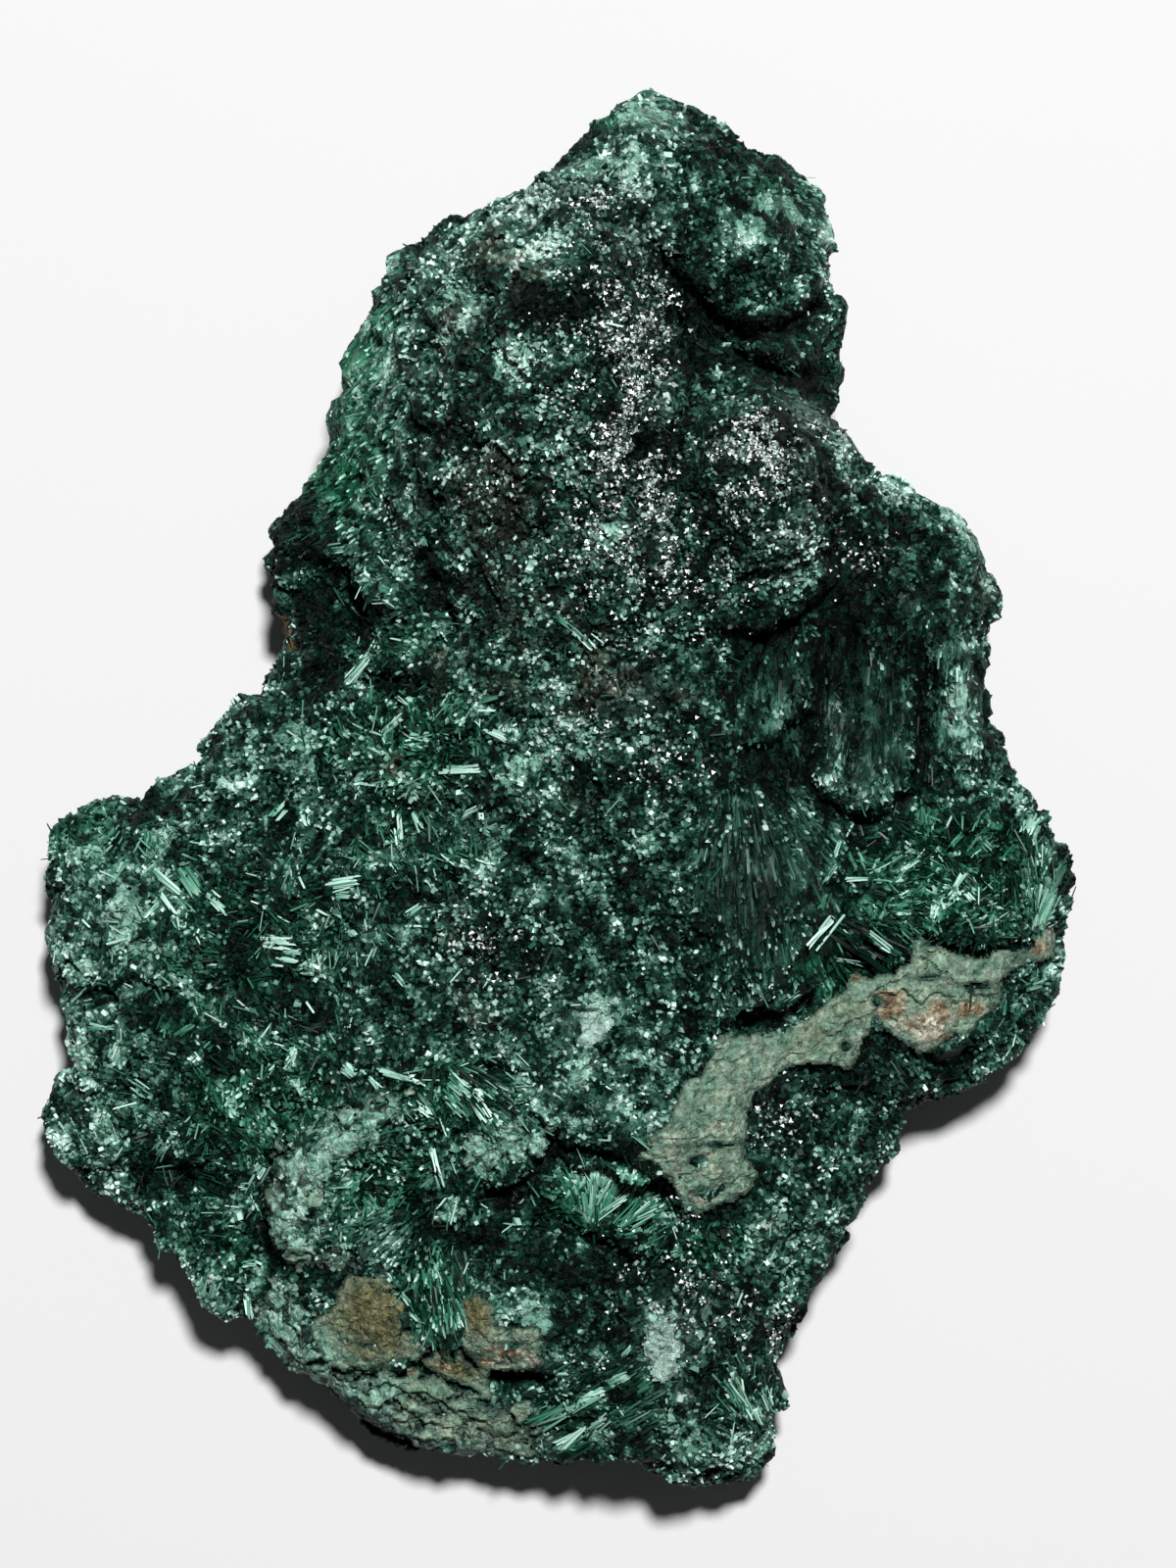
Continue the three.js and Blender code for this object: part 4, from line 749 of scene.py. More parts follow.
class Nodes:
    """A material's node tree, with short calls to add and join its nodes."""

    def __init__(self, name):
        self.material = bpy.data.materials.new(name)
        self.material.use_nodes = True
        self.tree = self.material.node_tree
        self.shader = self.tree.nodes["Principled BSDF"]
        self.place = self.add("ShaderNodeTexCoord").outputs["Object"]

    def add(self, kind, inputs=None, **settings):
        node = self.tree.nodes.new(kind)
        for key, value in settings.items():
            setattr(node, key, value)
        for key, value in (inputs or {}).items():
            self.feed(value, node.inputs[key])
        return node

    def feed(self, value, socket):
        if isinstance(value, bpy.types.NodeSocket):
            self.tree.links.new(value, socket)
        else:
            socket.default_value = value

    def attribute(self, name):
        return self.add("ShaderNodeAttribute", attribute_name=name).outputs["Fac"]

    def noise(self, size, detail=3.0):
        inputs = {"Vector": self.place, "Scale": 1.0 / size, "Detail": detail, "Roughness": 0.6}
        return self.add("ShaderNodeTexNoise", inputs).outputs["Fac"]

    def mix(self, share, first, second):
        """Two colours mixed: sockets 6 and 7 of a Mix node take colours, and output 2 gives one."""
        node = self.add("ShaderNodeMix", data_type="RGBA")
        self.feed(share, node.inputs[0])
        self.feed(first, node.inputs[6])
        self.feed(second, node.inputs[7])
        return node.outputs[2]

    def ramp(self, value, *stops):
        """A colour ramp: each stop is its position and an sRGB colour."""
        node = self.add("ShaderNodeValToRGB", {"Fac": value})
        steps = node.color_ramp.elements
        steps[0].position, steps[0].color = stops[0][0], rgb(*stops[0][1:])
        steps[1].position, steps[1].color = stops[-1][0], rgb(*stops[-1][1:])
        for position, *colour in stops[1:-1]:
            steps.new(position).color = rgb(*colour)
        return node.outputs["Color"]

    def vector(self, operation, first, second):
        return self.add("ShaderNodeVectorMath", {0: first, 1: second}, operation=operation)

    def dim(self, colour, amount):
        node = self.add("ShaderNodeVectorMath", {0: colour}, operation="SCALE")
        self.feed(amount, node.inputs["Scale"])
        return node.outputs[0]

    def spread(self, value, low, high, to_low, to_high):
        inputs = {"Value": value, "From Min": low, "From Max": high, "To Min": to_low, "To Max": to_high}
        return self.add("ShaderNodeMapRange", inputs).outputs[0]

    def total(self, *values):
        """The sum of several sockets."""
        result = values[0]
        for value in values[1:]:
            result = self.add("ShaderNodeMath", {0: result, 1: value}).outputs[0]
        return result

    def facets(self, size, slope):
        """The height in metres and the shade of cells of the given size, each with its own random tilt."""
        wobble = self.add("ShaderNodeTexNoise", {"Vector": self.place, "Scale": 1.6 / size, "Detail": 2.0})
        shift = self.vector("ADD", wobble.outputs["Color"], (-0.5, -0.5, -0.5)).outputs[0]
        place = self.vector("ADD", self.place, self.dim(shift, 0.9 * size)).outputs[0]
        cells = self.add("ShaderNodeTexVoronoi", {"Vector": place, "Scale": 1.0 / size})
        off_centre = self.vector("SUBTRACT", place, cells.outputs["Position"]).outputs[0]
        lean = self.vector("ADD", cells.outputs["Color"], (-0.5, -0.5, -0.5)).outputs[0]
        height = self.vector("DOT_PRODUCT", off_centre, self.dim(lean, slope)).outputs["Value"]
        shade = self.add("ShaderNodeSeparateXYZ", {0: cells.outputs["Color"]}).outputs[0]
        return height, shade

    def roughen(self, height):
        """Bump of a height in metres."""
        bump = self.add("ShaderNodeBump", {"Height": height, "Strength": 1.0, "Distance": 1.0})
        self.feed(bump.outputs[0], self.shader.inputs["Normal"])

    def set_shader(self, values):
        for name, value in values.items():
            self.shader.inputs[name].default_value = value


# The colours of malachite from its darkest tone to its palest, plain and where an attribute asks for a hue
GREEN = ((0.0, 0, 8, 5), (0.3, 9, 42, 33), (0.55, 58, 102, 87), (0.8, 144, 186, 172), (1.0, 216, 244, 234))
HUES = {
    "emerald": ((0.0, 0, 18, 10), (0.3, 7, 54, 36), (0.6, 46, 122, 90), (1.0, 172, 232, 206)),
    "druse": ((0.0, 1, 8, 7), (0.4, 18, 42, 36), (0.75, 86, 114, 106), (1.0, 200, 222, 218)),
    "brown": ((0.0, 10, 17, 13), (0.4, 54, 57, 47), (0.7, 98, 98, 82), (1.0, 176, 188, 174)),
    "sage": ((0.0, 18, 34, 29), (0.45, 82, 110, 99), (0.75, 130, 152, 139), (1.0, 194, 210, 198)),
}
CHALK = ((0.0, 44, 86, 70), (0.4, 118, 166, 148), (0.7, 166, 208, 190), (1.0, 210, 238, 226))


def malachite_colour(nodes, tone):
    """Malachite from nearly black to pale, with the hues that the attributes ask for."""
    colour = nodes.ramp(tone, *GREEN)
    for name, stops in HUES.items():
        colour = nodes.mix(nodes.attribute(name), colour, nodes.ramp(tone, *stops))
    crumbled = nodes.spread(nodes.noise(0.5 * MM), 0.3, 0.7, -0.22, 0.22)
    bloom = nodes.spread(nodes.total(nodes.attribute("mint"), crumbled), 0.45, 0.56, 0.0, 1.0)
    return nodes.mix(bloom, colour, nodes.ramp(tone, *CHALK))


def paint(mesh, shares, repeat=1):
    """Keep colour fields as attributes of the points of a mesh, each value for so many points."""
    for key, field in shares.items():
        add_attribute(mesh, key, np.repeat(np.clip(field, 0.0, 1.0), repeat))


upward = smoothstep(-0.1, 0.3, skin_normals[:, 2])
paint(mass_mesh, {
    "tone": tone_at(skin, upward) - 0.16,
    "mint": mint_field(skin, upward) * bare,
    "brown": brown_at(skin, upward),
    "sage": sage_at(skin, upward),
    "emerald": emerald_at(skin, upward),
    "druse": druse_at(skin, upward),
    "base": base,
    "calm": patches_at(skin, CALM_PATCHES),
    "rust": worn_patches(skin, STAIN_PATCHES, 0.1, 1.0, 0.3, 1.2, 67.0),
})
grain_layer = mass_mesh.attributes.new("grain", "FLOAT_VECTOR", "POINT")
flat_or_drawn = np.where((base > 0.02)[:, None], skin, along_fibres(skin))
grain_layer.data.foreach_set("vector", flat_or_drawn.astype(np.float32).ravel())

# The skin's own finish: facets of two sizes, a broken face underneath, and a rusty stain
finish = Nodes("malachite_skin")
finish.place = finish.add("ShaderNodeAttribute", attribute_name="grain").outputs["Vector"]
large_height, large_shade = finish.facets(1.1 * MM, 1.3)
small_height, small_shade = finish.facets(0.5 * MM, 1.5)
contrast = finish.spread(finish.attribute("calm"), 0.0, 1.0, 1.0, 0.55)
shades = finish.total(finish.spread(large_shade, 0.0, 1.0, -0.14, 0.14),
                      finish.spread(small_shade, 0.0, 1.0, -0.3, 0.3))
shades = finish.add("ShaderNodeMath", {0: shades, 1: contrast}, operation="MULTIPLY").outputs[0]
colour = malachite_colour(finish, finish.total(finish.attribute("tone"), shades))
broken = finish.ramp(finish.noise(4 * MM, 6.0), (0.32, 12, 32, 25), (0.46, 32, 60, 47), (0.56, 58, 84, 68),
                     (0.66, 98, 104, 84), (0.76, 60, 72, 58))
colour = finish.mix(finish.attribute("base"), colour, broken)
flecks = finish.spread(finish.noise(0.6 * MM), 0.3, 0.7, -0.3, 0.3)
stain = finish.spread(finish.total(finish.attribute("rust"), flecks), 0.35, 0.75, 0.0, 0.85)
rust = finish.ramp(finish.noise(1.0 * MM), (0.35, 74, 60, 42), (0.65, 158, 118, 76))
finish.feed(finish.mix(stain, colour, rust), finish.shader.inputs["Base Color"])
finish.set_shader({"Roughness": 0.6, "IOR": 1.5, "Specular IOR Level": 0.12})
finish.roughen(finish.total(large_height, small_height))
mass_mesh.materials.clear()
mass_mesh.materials.append(finish.material)


def declare(piece):
    """Say which part of the frame a piece belongs to."""
    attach(piece, "root")
    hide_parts("malachite_specimen")


declare(mass)


# The rind. Weathered crust, sage to olive and tan with rust, about a millimetre thick. It is cracked, and it
# ends in broken edges that stand over the fibres.
SCAB_CELL = 0.18 * MM
SCAB_THICKNESS = 1.5 * MM
SCAB_RISE = 0.65 * MM  # how far its face stands over the skin before its relief
SCAB_SLOPE = 0.3  # the rind ends where the skin is steeper than this upward share of its normal
RAY_START = 0.2  # a height above the whole specimen, in metres
DOWN = Vector((0, 0, -1))
# The relief of the crust, in millimetres
WAVES = 0.3
FLAKE_STEP = 0.2
CRUMBS = 0.16
CRUMBLY_LUMPS = 0.7
CRACK_DEPTH = 0.7
WANDER = 1.4  # how far its ledges stray from their lines
WORN_EDGE = 0.3
CRUST_LEDGES = (
    (0.8, 1.2, ((27.4, -16.9), (29.8, -16.7), (31.3, -17.2), (32.8, -16.7), (34.3, -17), (35.8, -16.6),
        (37.4, -16.7))), (0.5, 1.0, ((26.6, -20), (26.8, -18), (27, -16.4), (28.4, -15.4))),
    (0.5, 1.2, ((18, -23.6), (19.6, -21.6), (22, -21), (25, -19.4))),
    (0.4, 0.9, ((9, -28.6), (11.4, -28), (13.4, -28.9), (16, -29.8))),
    (0.4, 0.9, ((10.6, -32), (12.4, -31.2), (14.6, -32), (16.6, -31.6))),
    (0.5, 1.0, ((13.6, -22.4), (15.4, -21.6), (17, -20.6))),
    (0.4, 1.0, ((-19.6, -45.4), (-17, -44.6), (-14.4, -45.6), (-12, -45))),
    (0.5, 0.8, ((-7, -45.4), (-5, -45.6), (-3, -45), (-1, -45.6))),
    (1.3, 1.1, ((-23, -43), (-21.8, -46), (-20, -48.6), (-17, -50.1), (-13, -50.2), (-9.6, -51.4),
        (-6, -53.2))),
    (1.2, 1.0, ((-20.6, -49.4), (-17.4, -51), (-14, -51.6), (-11, -52.8), (-7.4, -54.4), (-3.4, -54.2))),
    (1.2, 1.0, ((-15.6, -52.2), (-12.8, -53.6), (-10, -55.2), (-6, -55.6))),
    (0.7, 0.9, ((-22.4, -31.6), (-20.6, -32.2), (-19, -31.2))),
    (0.7, 0.9, ((-23.6, -35), (-21.6, -35.6), (-20, -34.8))),
)
RUST_SPOTS = (
    (28.7, -17.9, 1.4, 1.1, 1.0), (32.6, -18.2, 1.6, 1.4, 1.0), (35.4, -18, 1.6, 0.8, 1.0),
    (28.4, -16.6, 1.6, 0.6, 0.9), (31, -19, 3, 1.6, 0.7), (25.3, -15.2, 0.7, 0.6, 1.2),
    (41.4, -12.9, 0.9, 0.6, 1.3), (33.4, -20.2, 1, 0.7, 0.8), (-18.6, -39.2, 1.4, 0.8, 1.0),
    (-12.3, -48.6, 1.4, 0.5, 1.3), (-3.8, -46.7, 1.8, 0.9, 0.8), (-5.6, -47.8, 1, 0.7, 0.8),
    (-9, -48.4, 1.4, 0.6, 0.5),
)
OLIVE_SPOTS = (
    (-15, -44, 4.4, 4.6, 1.0), (-6.2, -43.6, 1.6, 2.4, 1.0), (-8, -48.4, 3, 2, 0.9),
    (22, -20.2, 4, 2, 0.45), (25.4, -18, 2, 2, 0.5), (18, -21.4, 3, 1.4, 0.3), (12, -30, 3, 3, 0.3),
    (-5, -54, 4, 2, 0.5), (-12, -51, 4, 1.4, 0.3),
)
MINT_SPOTS = (
    (-18, -28, 4, 2, 0.9), (-21, -31, 3, 3, 0.9), (-21.6, -35.6, 3, 3, 0.9), (-14, -26.4, 3, 2, 0.7),
    (-4, -29.2, 4, 2, 1.2), (-22.6, -44, 2, 3, 1.0), (-20.6, -48, 2.4, 2.4, 0.9), (3.6, -19.2, 3, 3, 1.4),
    (9.2, -46.8, 3, 4, 1.4), (-16, -50.4, 3, 1.4, 0.8), (-16, -52.4, 3, 1, 0.7), (-7, -56, 4, 1, 0.6),
)
PALE_SPOTS = (
    (31.6, -19.6, 1.6, 1.4, 1.0), (29.6, -18.8, 1, 0.7, 0.8), (33.6, -18.9, 1, 0.6, 0.6),
    (-1.4, -47.6, 1, 1, 0.9), (12.6, -33.6, 1.4, 1, 0.6), (13.6, -31, 2.4, 1.6, 0.3),
    (22, -18.6, 1, 0.6, 0.4), (42.4, -11.8, 1, 0.7, 0.6), (-16, -42.2, 1, 1, 0.3),
)
CHIP_SPOTS = ((3.6, -19.2, 3, 3, 1.0), (9.2, -46.8, 3, 4, 1.0))
scab_mesh = bpy.data.meshes.new("rind_scabs")
scabs = bmesh.new()
for outline in FIRM_SCABS + CRUMBLY_SCABS:
    corners = np.array(outline)
    low, high = corners.min(axis=0) - 1.0, corners.max(axis=0) + 1.0
    slab = bmesh.new()
    columns, rows = ((high - low) * MM / SCAB_CELL).astype(int)
    bmesh.ops.create_grid(slab, x_segments=columns, y_segments=rows, size=0.5)
    middle, extent = (low + high) / 2 * MM, (high - low) * MM
    for corner in slab.verts:
        corner.co.x = middle[0] + corner.co.x * extent[0]
        corner.co.y = middle[1] + corner.co.y * extent[1]
    centres = np.array([face.calc_center_median() for face in slab.faces])
    outside = rind_depth(centres) < 0.0
    bmesh.ops.delete(slab, geom=[face for face, out in zip(slab.faces, outside) if out], context="FACES")
    hanging = []
    for corner in slab.verts:
        hit = smooth_skin.ray_cast(Vector((corner.co.x, corner.co.y, RAY_START)), DOWN)
        if hit[0] is None or hit[1].z < SCAB_SLOPE:
            hanging.append(corner)
        else:
            corner.co.z = hit[0].z
    bmesh.ops.delete(slab, geom=hanging, context="VERTS")
    loose = [corner for corner in slab.verts if not corner.link_faces]
    bmesh.ops.delete(slab, geom=loose, context="VERTS")
    places = np.array([(corner.co.x, corner.co.y, 0.0) for corner in slab.verts])
    crumble = ragged(places, 0.5 * MM, 15.0)
    flakes = 2.2 * ragged(places, 2.4 * MM, 33.0)
    flakes = np.floor(flakes) + smoothstep(0.75, 1.0, flakes - np.floor(flakes))
    relief = WAVES * ragged(places, 3.0 * MM, 21.0) + FLAKE_STEP * flakes + CRUMBS * crumble
    if outline in CRUMBLY_SCABS:
        relief += CRUMBLY_LUMPS * ragged(places, 1.9 * MM, 29.0) + 0.25 * crumble
    crack = 1.0 - smoothstep(0.0, 0.06, np.abs(ragged(places, 4.0 * MM, 25.0)))
    relief -= CRACK_DEPTH * crack * smoothstep(0.0, 0.3, ragged(places, 5 * MM, 27.0))
    bent = places + WANDER * MM * np.stack([ragged(places, 1.8 * MM, s) for s in (101.0, 103.0, 105.0)], 1)
    for height, reach, line in CRUST_LEDGES:
        left, away, beyond = beside(line, bent)
        relief += 0.5 * height * np.tanh(left / (0.12 * MM + beyond)) * np.exp(-away / (reach * MM))
    near_edge = 1.0 - smoothstep(0.0, 0.35 * MM, rind_depth(places))
    relief -= WORN_EDGE * near_edge * (0.7 + 0.6 * crumble)
    for corner, height in zip(slab.verts, relief):
        corner.co.z += SCAB_RISE + height * MM
    grown = bmesh.ops.extrude_face_region(slab, geom=list(slab.faces), use_keep_orig=True)
    lowered = [part for part in grown["geom"] if isinstance(part, bmesh.types.BMVert)]
    bmesh.ops.translate(slab, verts=lowered, vec=(0, 0, -SCAB_THICKNESS))
    bmesh.ops.recalc_face_normals(slab, faces=slab.faces)
    bmesh.ops.triangulate(slab, faces=slab.faces)
    part_mesh = bpy.data.meshes.new("part")
    slab.to_mesh(part_mesh)
    slab.free()
    scabs.from_mesh(part_mesh)
    bpy.data.meshes.remove(part_mesh)
scabs.to_mesh(scab_mesh)
scabs.free()
scab_mesh.shade_flat()
rind = bpy.data.objects.new("rind_scabs", scab_mesh)
bpy.context.scene.collection.objects.link(rind)
crust = read_vectors(scab_mesh.vertices, "co")
chips = patches_at(crust, CHIP_SPOTS)
paint(scab_mesh, {
    "rust": worn_patches(crust, RUST_SPOTS, 0.3, 0.7, 0.45, 1.0, 81.0),
    "olive": worn_patches(crust, OLIVE_SPOTS, 0.2, 0.9, 0.3, 2.0, 85.0),
    "pale": worn_patches(crust, PALE_SPOTS, 0.3, 0.8, 0.5, 0.9, 87.0),
    "chalky": worn_patches(crust, MINT_SPOTS, 0.1, 0.6, 0.45, 1.4, 89.0),
    "edge": (1.0 - smoothstep(0.0, 0.4 * MM, rind_depth(crust))) * (1.0 - 0.85 * chips),
    "chip": chips,
})
finish = Nodes("malachite_rind")
# Each colour of the crust: the size of its mottling in millimetres, and its ramp
CRUST_COLOURS = {
    "chalky": (0.9, (0.34, 82, 134, 112), (0.5, 142, 190, 170), (0.66, 190, 224, 208)),
    "olive": (1.2, (0.35, 70, 80, 56), (0.52, 112, 112, 78), (0.7, 144, 140, 104)),
    "rust": (0.7, (0.36, 84, 74, 58), (0.48, 136, 116, 88), (0.56, 168, 154, 128), (0.68, 200, 190, 168)),
    "pale": (0.6, (0.36, 134, 138, 116), (0.6, 208, 202, 184)),
}
sage = ((0.35, 90, 124, 106), (0.5, 126, 154, 134), (0.68, 160, 174, 152))
colour = finish.ramp(finish.noise(1.6 * MM, 5.0), *sage)
for name, (size, *stops) in CRUST_COLOURS.items():
    colour = finish.mix(finish.attribute(name), colour, finish.ramp(finish.noise(size * MM, 5.0), *stops))
colour = finish.mix(finish.attribute("edge"), colour, rgb(66, 88, 74))
colour = finish.mix(finish.spread(finish.attribute("chip"), 0.0, 1.0, 0.0, 0.7), colour, rgb(186, 210, 202))
flake_height, flake_shade = finish.facets(0.45 * MM, 0.9)
colour = finish.dim(colour, finish.spread(flake_shade, 0.0, 1.0, 0.64, 1.2))
grain = finish.noise(0.3 * MM)
colour = finish.dim(colour, finish.spread(grain, 0.32, 0.68, 0.62, 1.22))
finish.feed(colour, finish.shader.inputs["Base Color"])
finish.set_shader({"Roughness": 0.85, "Specular IOR Level": 0.2})
finish.roughen(finish.total(flake_height, finish.spread(grain, 0.0, 1.0, 0.0, 0.16 * MM)))
scab_mesh.materials.append(finish.material)
declare(rind)


# The nap. The fibres end in free tips, small blocky grains with slanting ends, that cover the skin like a
# mosaic. Each is lit its own way and has a tone of its own, and a few pale ones carry a painted highlight, so
# that pale ones lie beside black ones.
NAP_TOTAL = 40000
NAP_PIECES = 4
# In millimetres: how deep a grain starts below the skin, how long the shortest is, and how much longer others
# are at most, more so in the fans and where the malachite is fresh
NAP_ROOT = 0.35
SHORTEST = 0.08
LONGER = 0.26
LONGER_IN_FANS = 0.3
LONGER_IF_FRESH = 0.6
# Also in millimetres: how thin the thinnest is, how much thicker others are, and how much thicker a few are
THINNEST = 0.3
THICKER = 0.3
FEW_THICKER = 0.45
FAN_TILT = 38  # how far the grains lie down there, in degrees
FRESH_TILT = 20


def throw_roots(count, weight, seed):
    """Random places on the skin, as many to each triangle as its area and the weight at its corners ask."""
    draw = np.random.default_rng(seed)
    a, b, c = (skin[triangles[:, i]] for i in range(3))
    area = np.linalg.norm(np.cross(b - a, c - a), axis=1) * weight[triangles].mean(axis=1)
    chosen = draw.choice(len(triangles), count, p=area / area.sum())
    u, v = draw.random(count), draw.random(count)
    flip = u + v > 1
    u[flip], v[flip] = 1 - u[flip], 1 - v[flip]
    places = a[chosen] + u[:, None] * (b - a)[chosen] + v[:, None] * (c - a)[chosen]
    return places, unit(skin_normals[triangles[chosen]].mean(axis=1))


def grow(name, sides, roots, along, broad, width, depth, length, taper, slant, shares, finish):
    """A flat-sided crystal on each root, as one mesh. Its widest face looks the way of broad."""
    across = unit(np.cross(broad, along))
    outward = np.cross(along, across)
    corner_up = math.pi / 2 - math.pi / sides if sides == 3 else 0.0  # a three-sided one has an edge on top
    turns = (np.arange(sides) + 0.5) * 2 * math.pi / sides + corner_up
    ring_x, ring_y = np.cos(turns), np.sin(turns)
    arm = across[:, None] * (width / 2)[:, None, None] * ring_x[None, :, None]
    arm = arm + outward[:, None] * (depth / 2)[:, None, None] * ring_y[None, :, None]
    rise = (length[:, None] + slant[:, None] * width[:, None] * ring_x[None])[:, :, None]
    foot = roots[:, None] + arm
    head = roots[:, None] + arm * taper[:, None, None] + along[:, None] * rise
    co = np.concatenate([foot, head], axis=1).reshape(-1, 3)
    bottom = list(range(sides))
    walls = [[i, (i + 1) % sides, (i + 1) % sides + sides, i + sides] for i in range(sides)]
    loops = np.array(bottom[::-1] + [i + sides for i in bottom] + sum(walls, []))
    lengths = np.array([sides, sides] + [4] * sides)
    count = len(roots)
    corners = (loops[None] + np.arange(count)[:, None] * 2 * sides).ravel()
    mesh = bpy.data.meshes.new(name)
    mesh.vertices.add(len(co))
    mesh.loops.add(len(corners))
    mesh.polygons.add(count * len(lengths))
    mesh.vertices.foreach_set("co", co.astype(np.float32).ravel())
    mesh.loops.foreach_set("vertex_index", corners.astype(np.int32))
    starts = np.concatenate([[0], np.cumsum(np.tile(lengths, count))[:-1]])
    mesh.polygons.foreach_set("loop_start", starts.astype(np.int32))
    mesh.update(calc_edges=True)
    mesh.shade_flat()
    blank = dict.fromkeys(("tone", "mint", "sage", "brown", "emerald", "druse"), np.zeros(count))
    paint(mesh, {**blank, **shares}, 2 * sides)
    add_attribute(mesh, "tip", np.tile(np.repeat([0.0, 1.0], sides), count))
    mesh.materials.append(finish.material)
    piece = bpy.data.objects.new(name, mesh)
    bpy.context.scene.collection.objects.link(piece)
    declare(piece)


def fibre_material(name, roughness, specular, painted_root_shade):
    """Malachite in separate grains and blades: painted shade darkens each towards its root, and each has a
    tone of its own.
    """
    finish = Nodes(name)
    painted_shade_towards_root = finish.spread(finish.attribute("tip"), 0.0, 1.0, -painted_root_shade, 0.0)
    tone = finish.total(finish.attribute("tone"), painted_shade_towards_root)
    finish.feed(malachite_colour(finish, tone), finish.shader.inputs["Base Color"])
    finish.set_shader({"Roughness": roughness, "IOR": 1.7, "Specular IOR Level": specular})
    return finish


def across_skin(heading, facing):
    """Headings laid flat on the skin."""
    return unit(heading - facing * np.sum(heading * facing, axis=1)[:, None])


grain_finish = fibre_material("malachite_grains", 0.5, 0.08, 0.3)
triangles = np.array([corner for p in mass_mesh.polygons
                      for corner in ([p.vertices[0], p.vertices[1], p.vertices[2]],
                                     [p.vertices[0], p.vertices[2], p.vertices[-1]])[: len(p.vertices) - 2]])
seen_from_above = 0.3 + 0.7 * smoothstep(-0.4, 0.3, skin_normals[:, 2])
calm = patches_at(skin, CALM_PATCHES)
nap_weight = seen_from_above * (1.0 - 0.88 * calm) * (1.0 - 0.5 * mint_at(skin)) * bare
nap_weight = nap_weight * smoothstep(0.8 * MM, 1.8 * MM, skin[:, 2])
nap_weight *= 1.0 - smoothstep(0.4, 0.8, patches_at(skin, STAIN_PATCHES))
nap_weight *= 0.15 + 0.85 * smoothstep(-1.3 * MM, -0.2 * MM, sculpted(skin))
roots, facing = throw_roots(NAP_TOTAL, nap_weight, 3)
draw = np.random.default_rng(23)
count = len(roots)
index = np.array([tuft_tree.find(p)[1] for p in roots])
upward = smoothstep(-0.1, 0.3, facing[:, 2])
pull = fan_pull(roots)
strength = np.linalg.norm(pull, axis=1)

# The grains lean the way of their tuft or fan. Where the malachite is fresh they are longer and thinner
fresh = emerald_at(roots, upward) * (1.0 - strength)
spread_out = (0.8 - 0.45 * fresh)[:, None] * draw.normal(size=(count, 3))
heading = 1.6 * pull + (1.0 - strength)[:, None] * (0.9 * unit(tuft_lean)[index] + spread_out)
heading += 0.18 * draw.normal(size=(count, 3))
heading = across_skin(heading, facing)
tilt = 5 + (15 + 20 * smoothstep(0.0, 0.5, facing[:, 2])) * draw.random(count)
tilt = np.radians(tilt + FAN_TILT * strength + FRESH_TILT * fresh)
along = facing * np.cos(tilt)[:, None] + heading * np.sin(tilt)[:, None]
broad = np.where((tilt < 0.8)[:, None], heading, facing)
length = SHORTEST + LONGER * draw.random(count)
length = (length + (LONGER_IN_FANS * strength + LONGER_IF_FRESH * fresh) * draw.random(count)) * MM
length *= 1.0 - 0.6 * patches_at(roots, CALM_PATCHES)
worn = 0.1 + 0.9 * smoothstep(0.1, 0.6, facing[:, 2])  # the sides are rubbed
length *= worn
width = THINNEST + THICKER * draw.random(count)
width = width + FEW_THICKER * (draw.random(count) > 0.9) * draw.random(count)
width = width * MM * (1.0 - 0.35 * strength - 0.3 * fresh)

mint = mint_at(roots, upward) * (draw.random(count) < 0.9)
tone = tone_at(roots, upward) + tuft_tone[index]
# Paler grains vary more in tone, and one in twelve of them is painted paler still as a painted highlight
lit = np.clip(1.6 * tone, 0.0, 1.0)
tone += (0.09 + 0.13 * lit) * draw.normal(size=count) + 0.34 * lit * (draw.random(count) > 0.92)
shares = {
    "tone": tone,
    "mint": mint,
    "sage": sage_at(roots, upward),
    "brown": brown_at(roots, upward) * draw.uniform(0.3, 1.0, count),
    "emerald": emerald_at(roots, upward) * draw.uniform(0.3, 1.0, count),
    "druse": druse_at(roots, upward) * draw.uniform(0.5, 1.0, count),
}
for number, band in enumerate(np.array_split(np.argsort(roots[:, 1]), NAP_PIECES)):
    depth = width[band] * draw.uniform(0.45, 1.0, len(band))
    taper = draw.uniform(0.7, 1.0, len(band))
    slant = (draw.uniform(-0.5, 0.5, count) * worn)[band]
    grow(f"nap_{number + 1}", 4, (roots - along * NAP_ROOT * MM)[band], along[band], broad[band], width[band],
         depth, length[band] + NAP_ROOT * MM, taper, slant,
         {key: field[band] for key, field in shares.items()}, grain_finish)


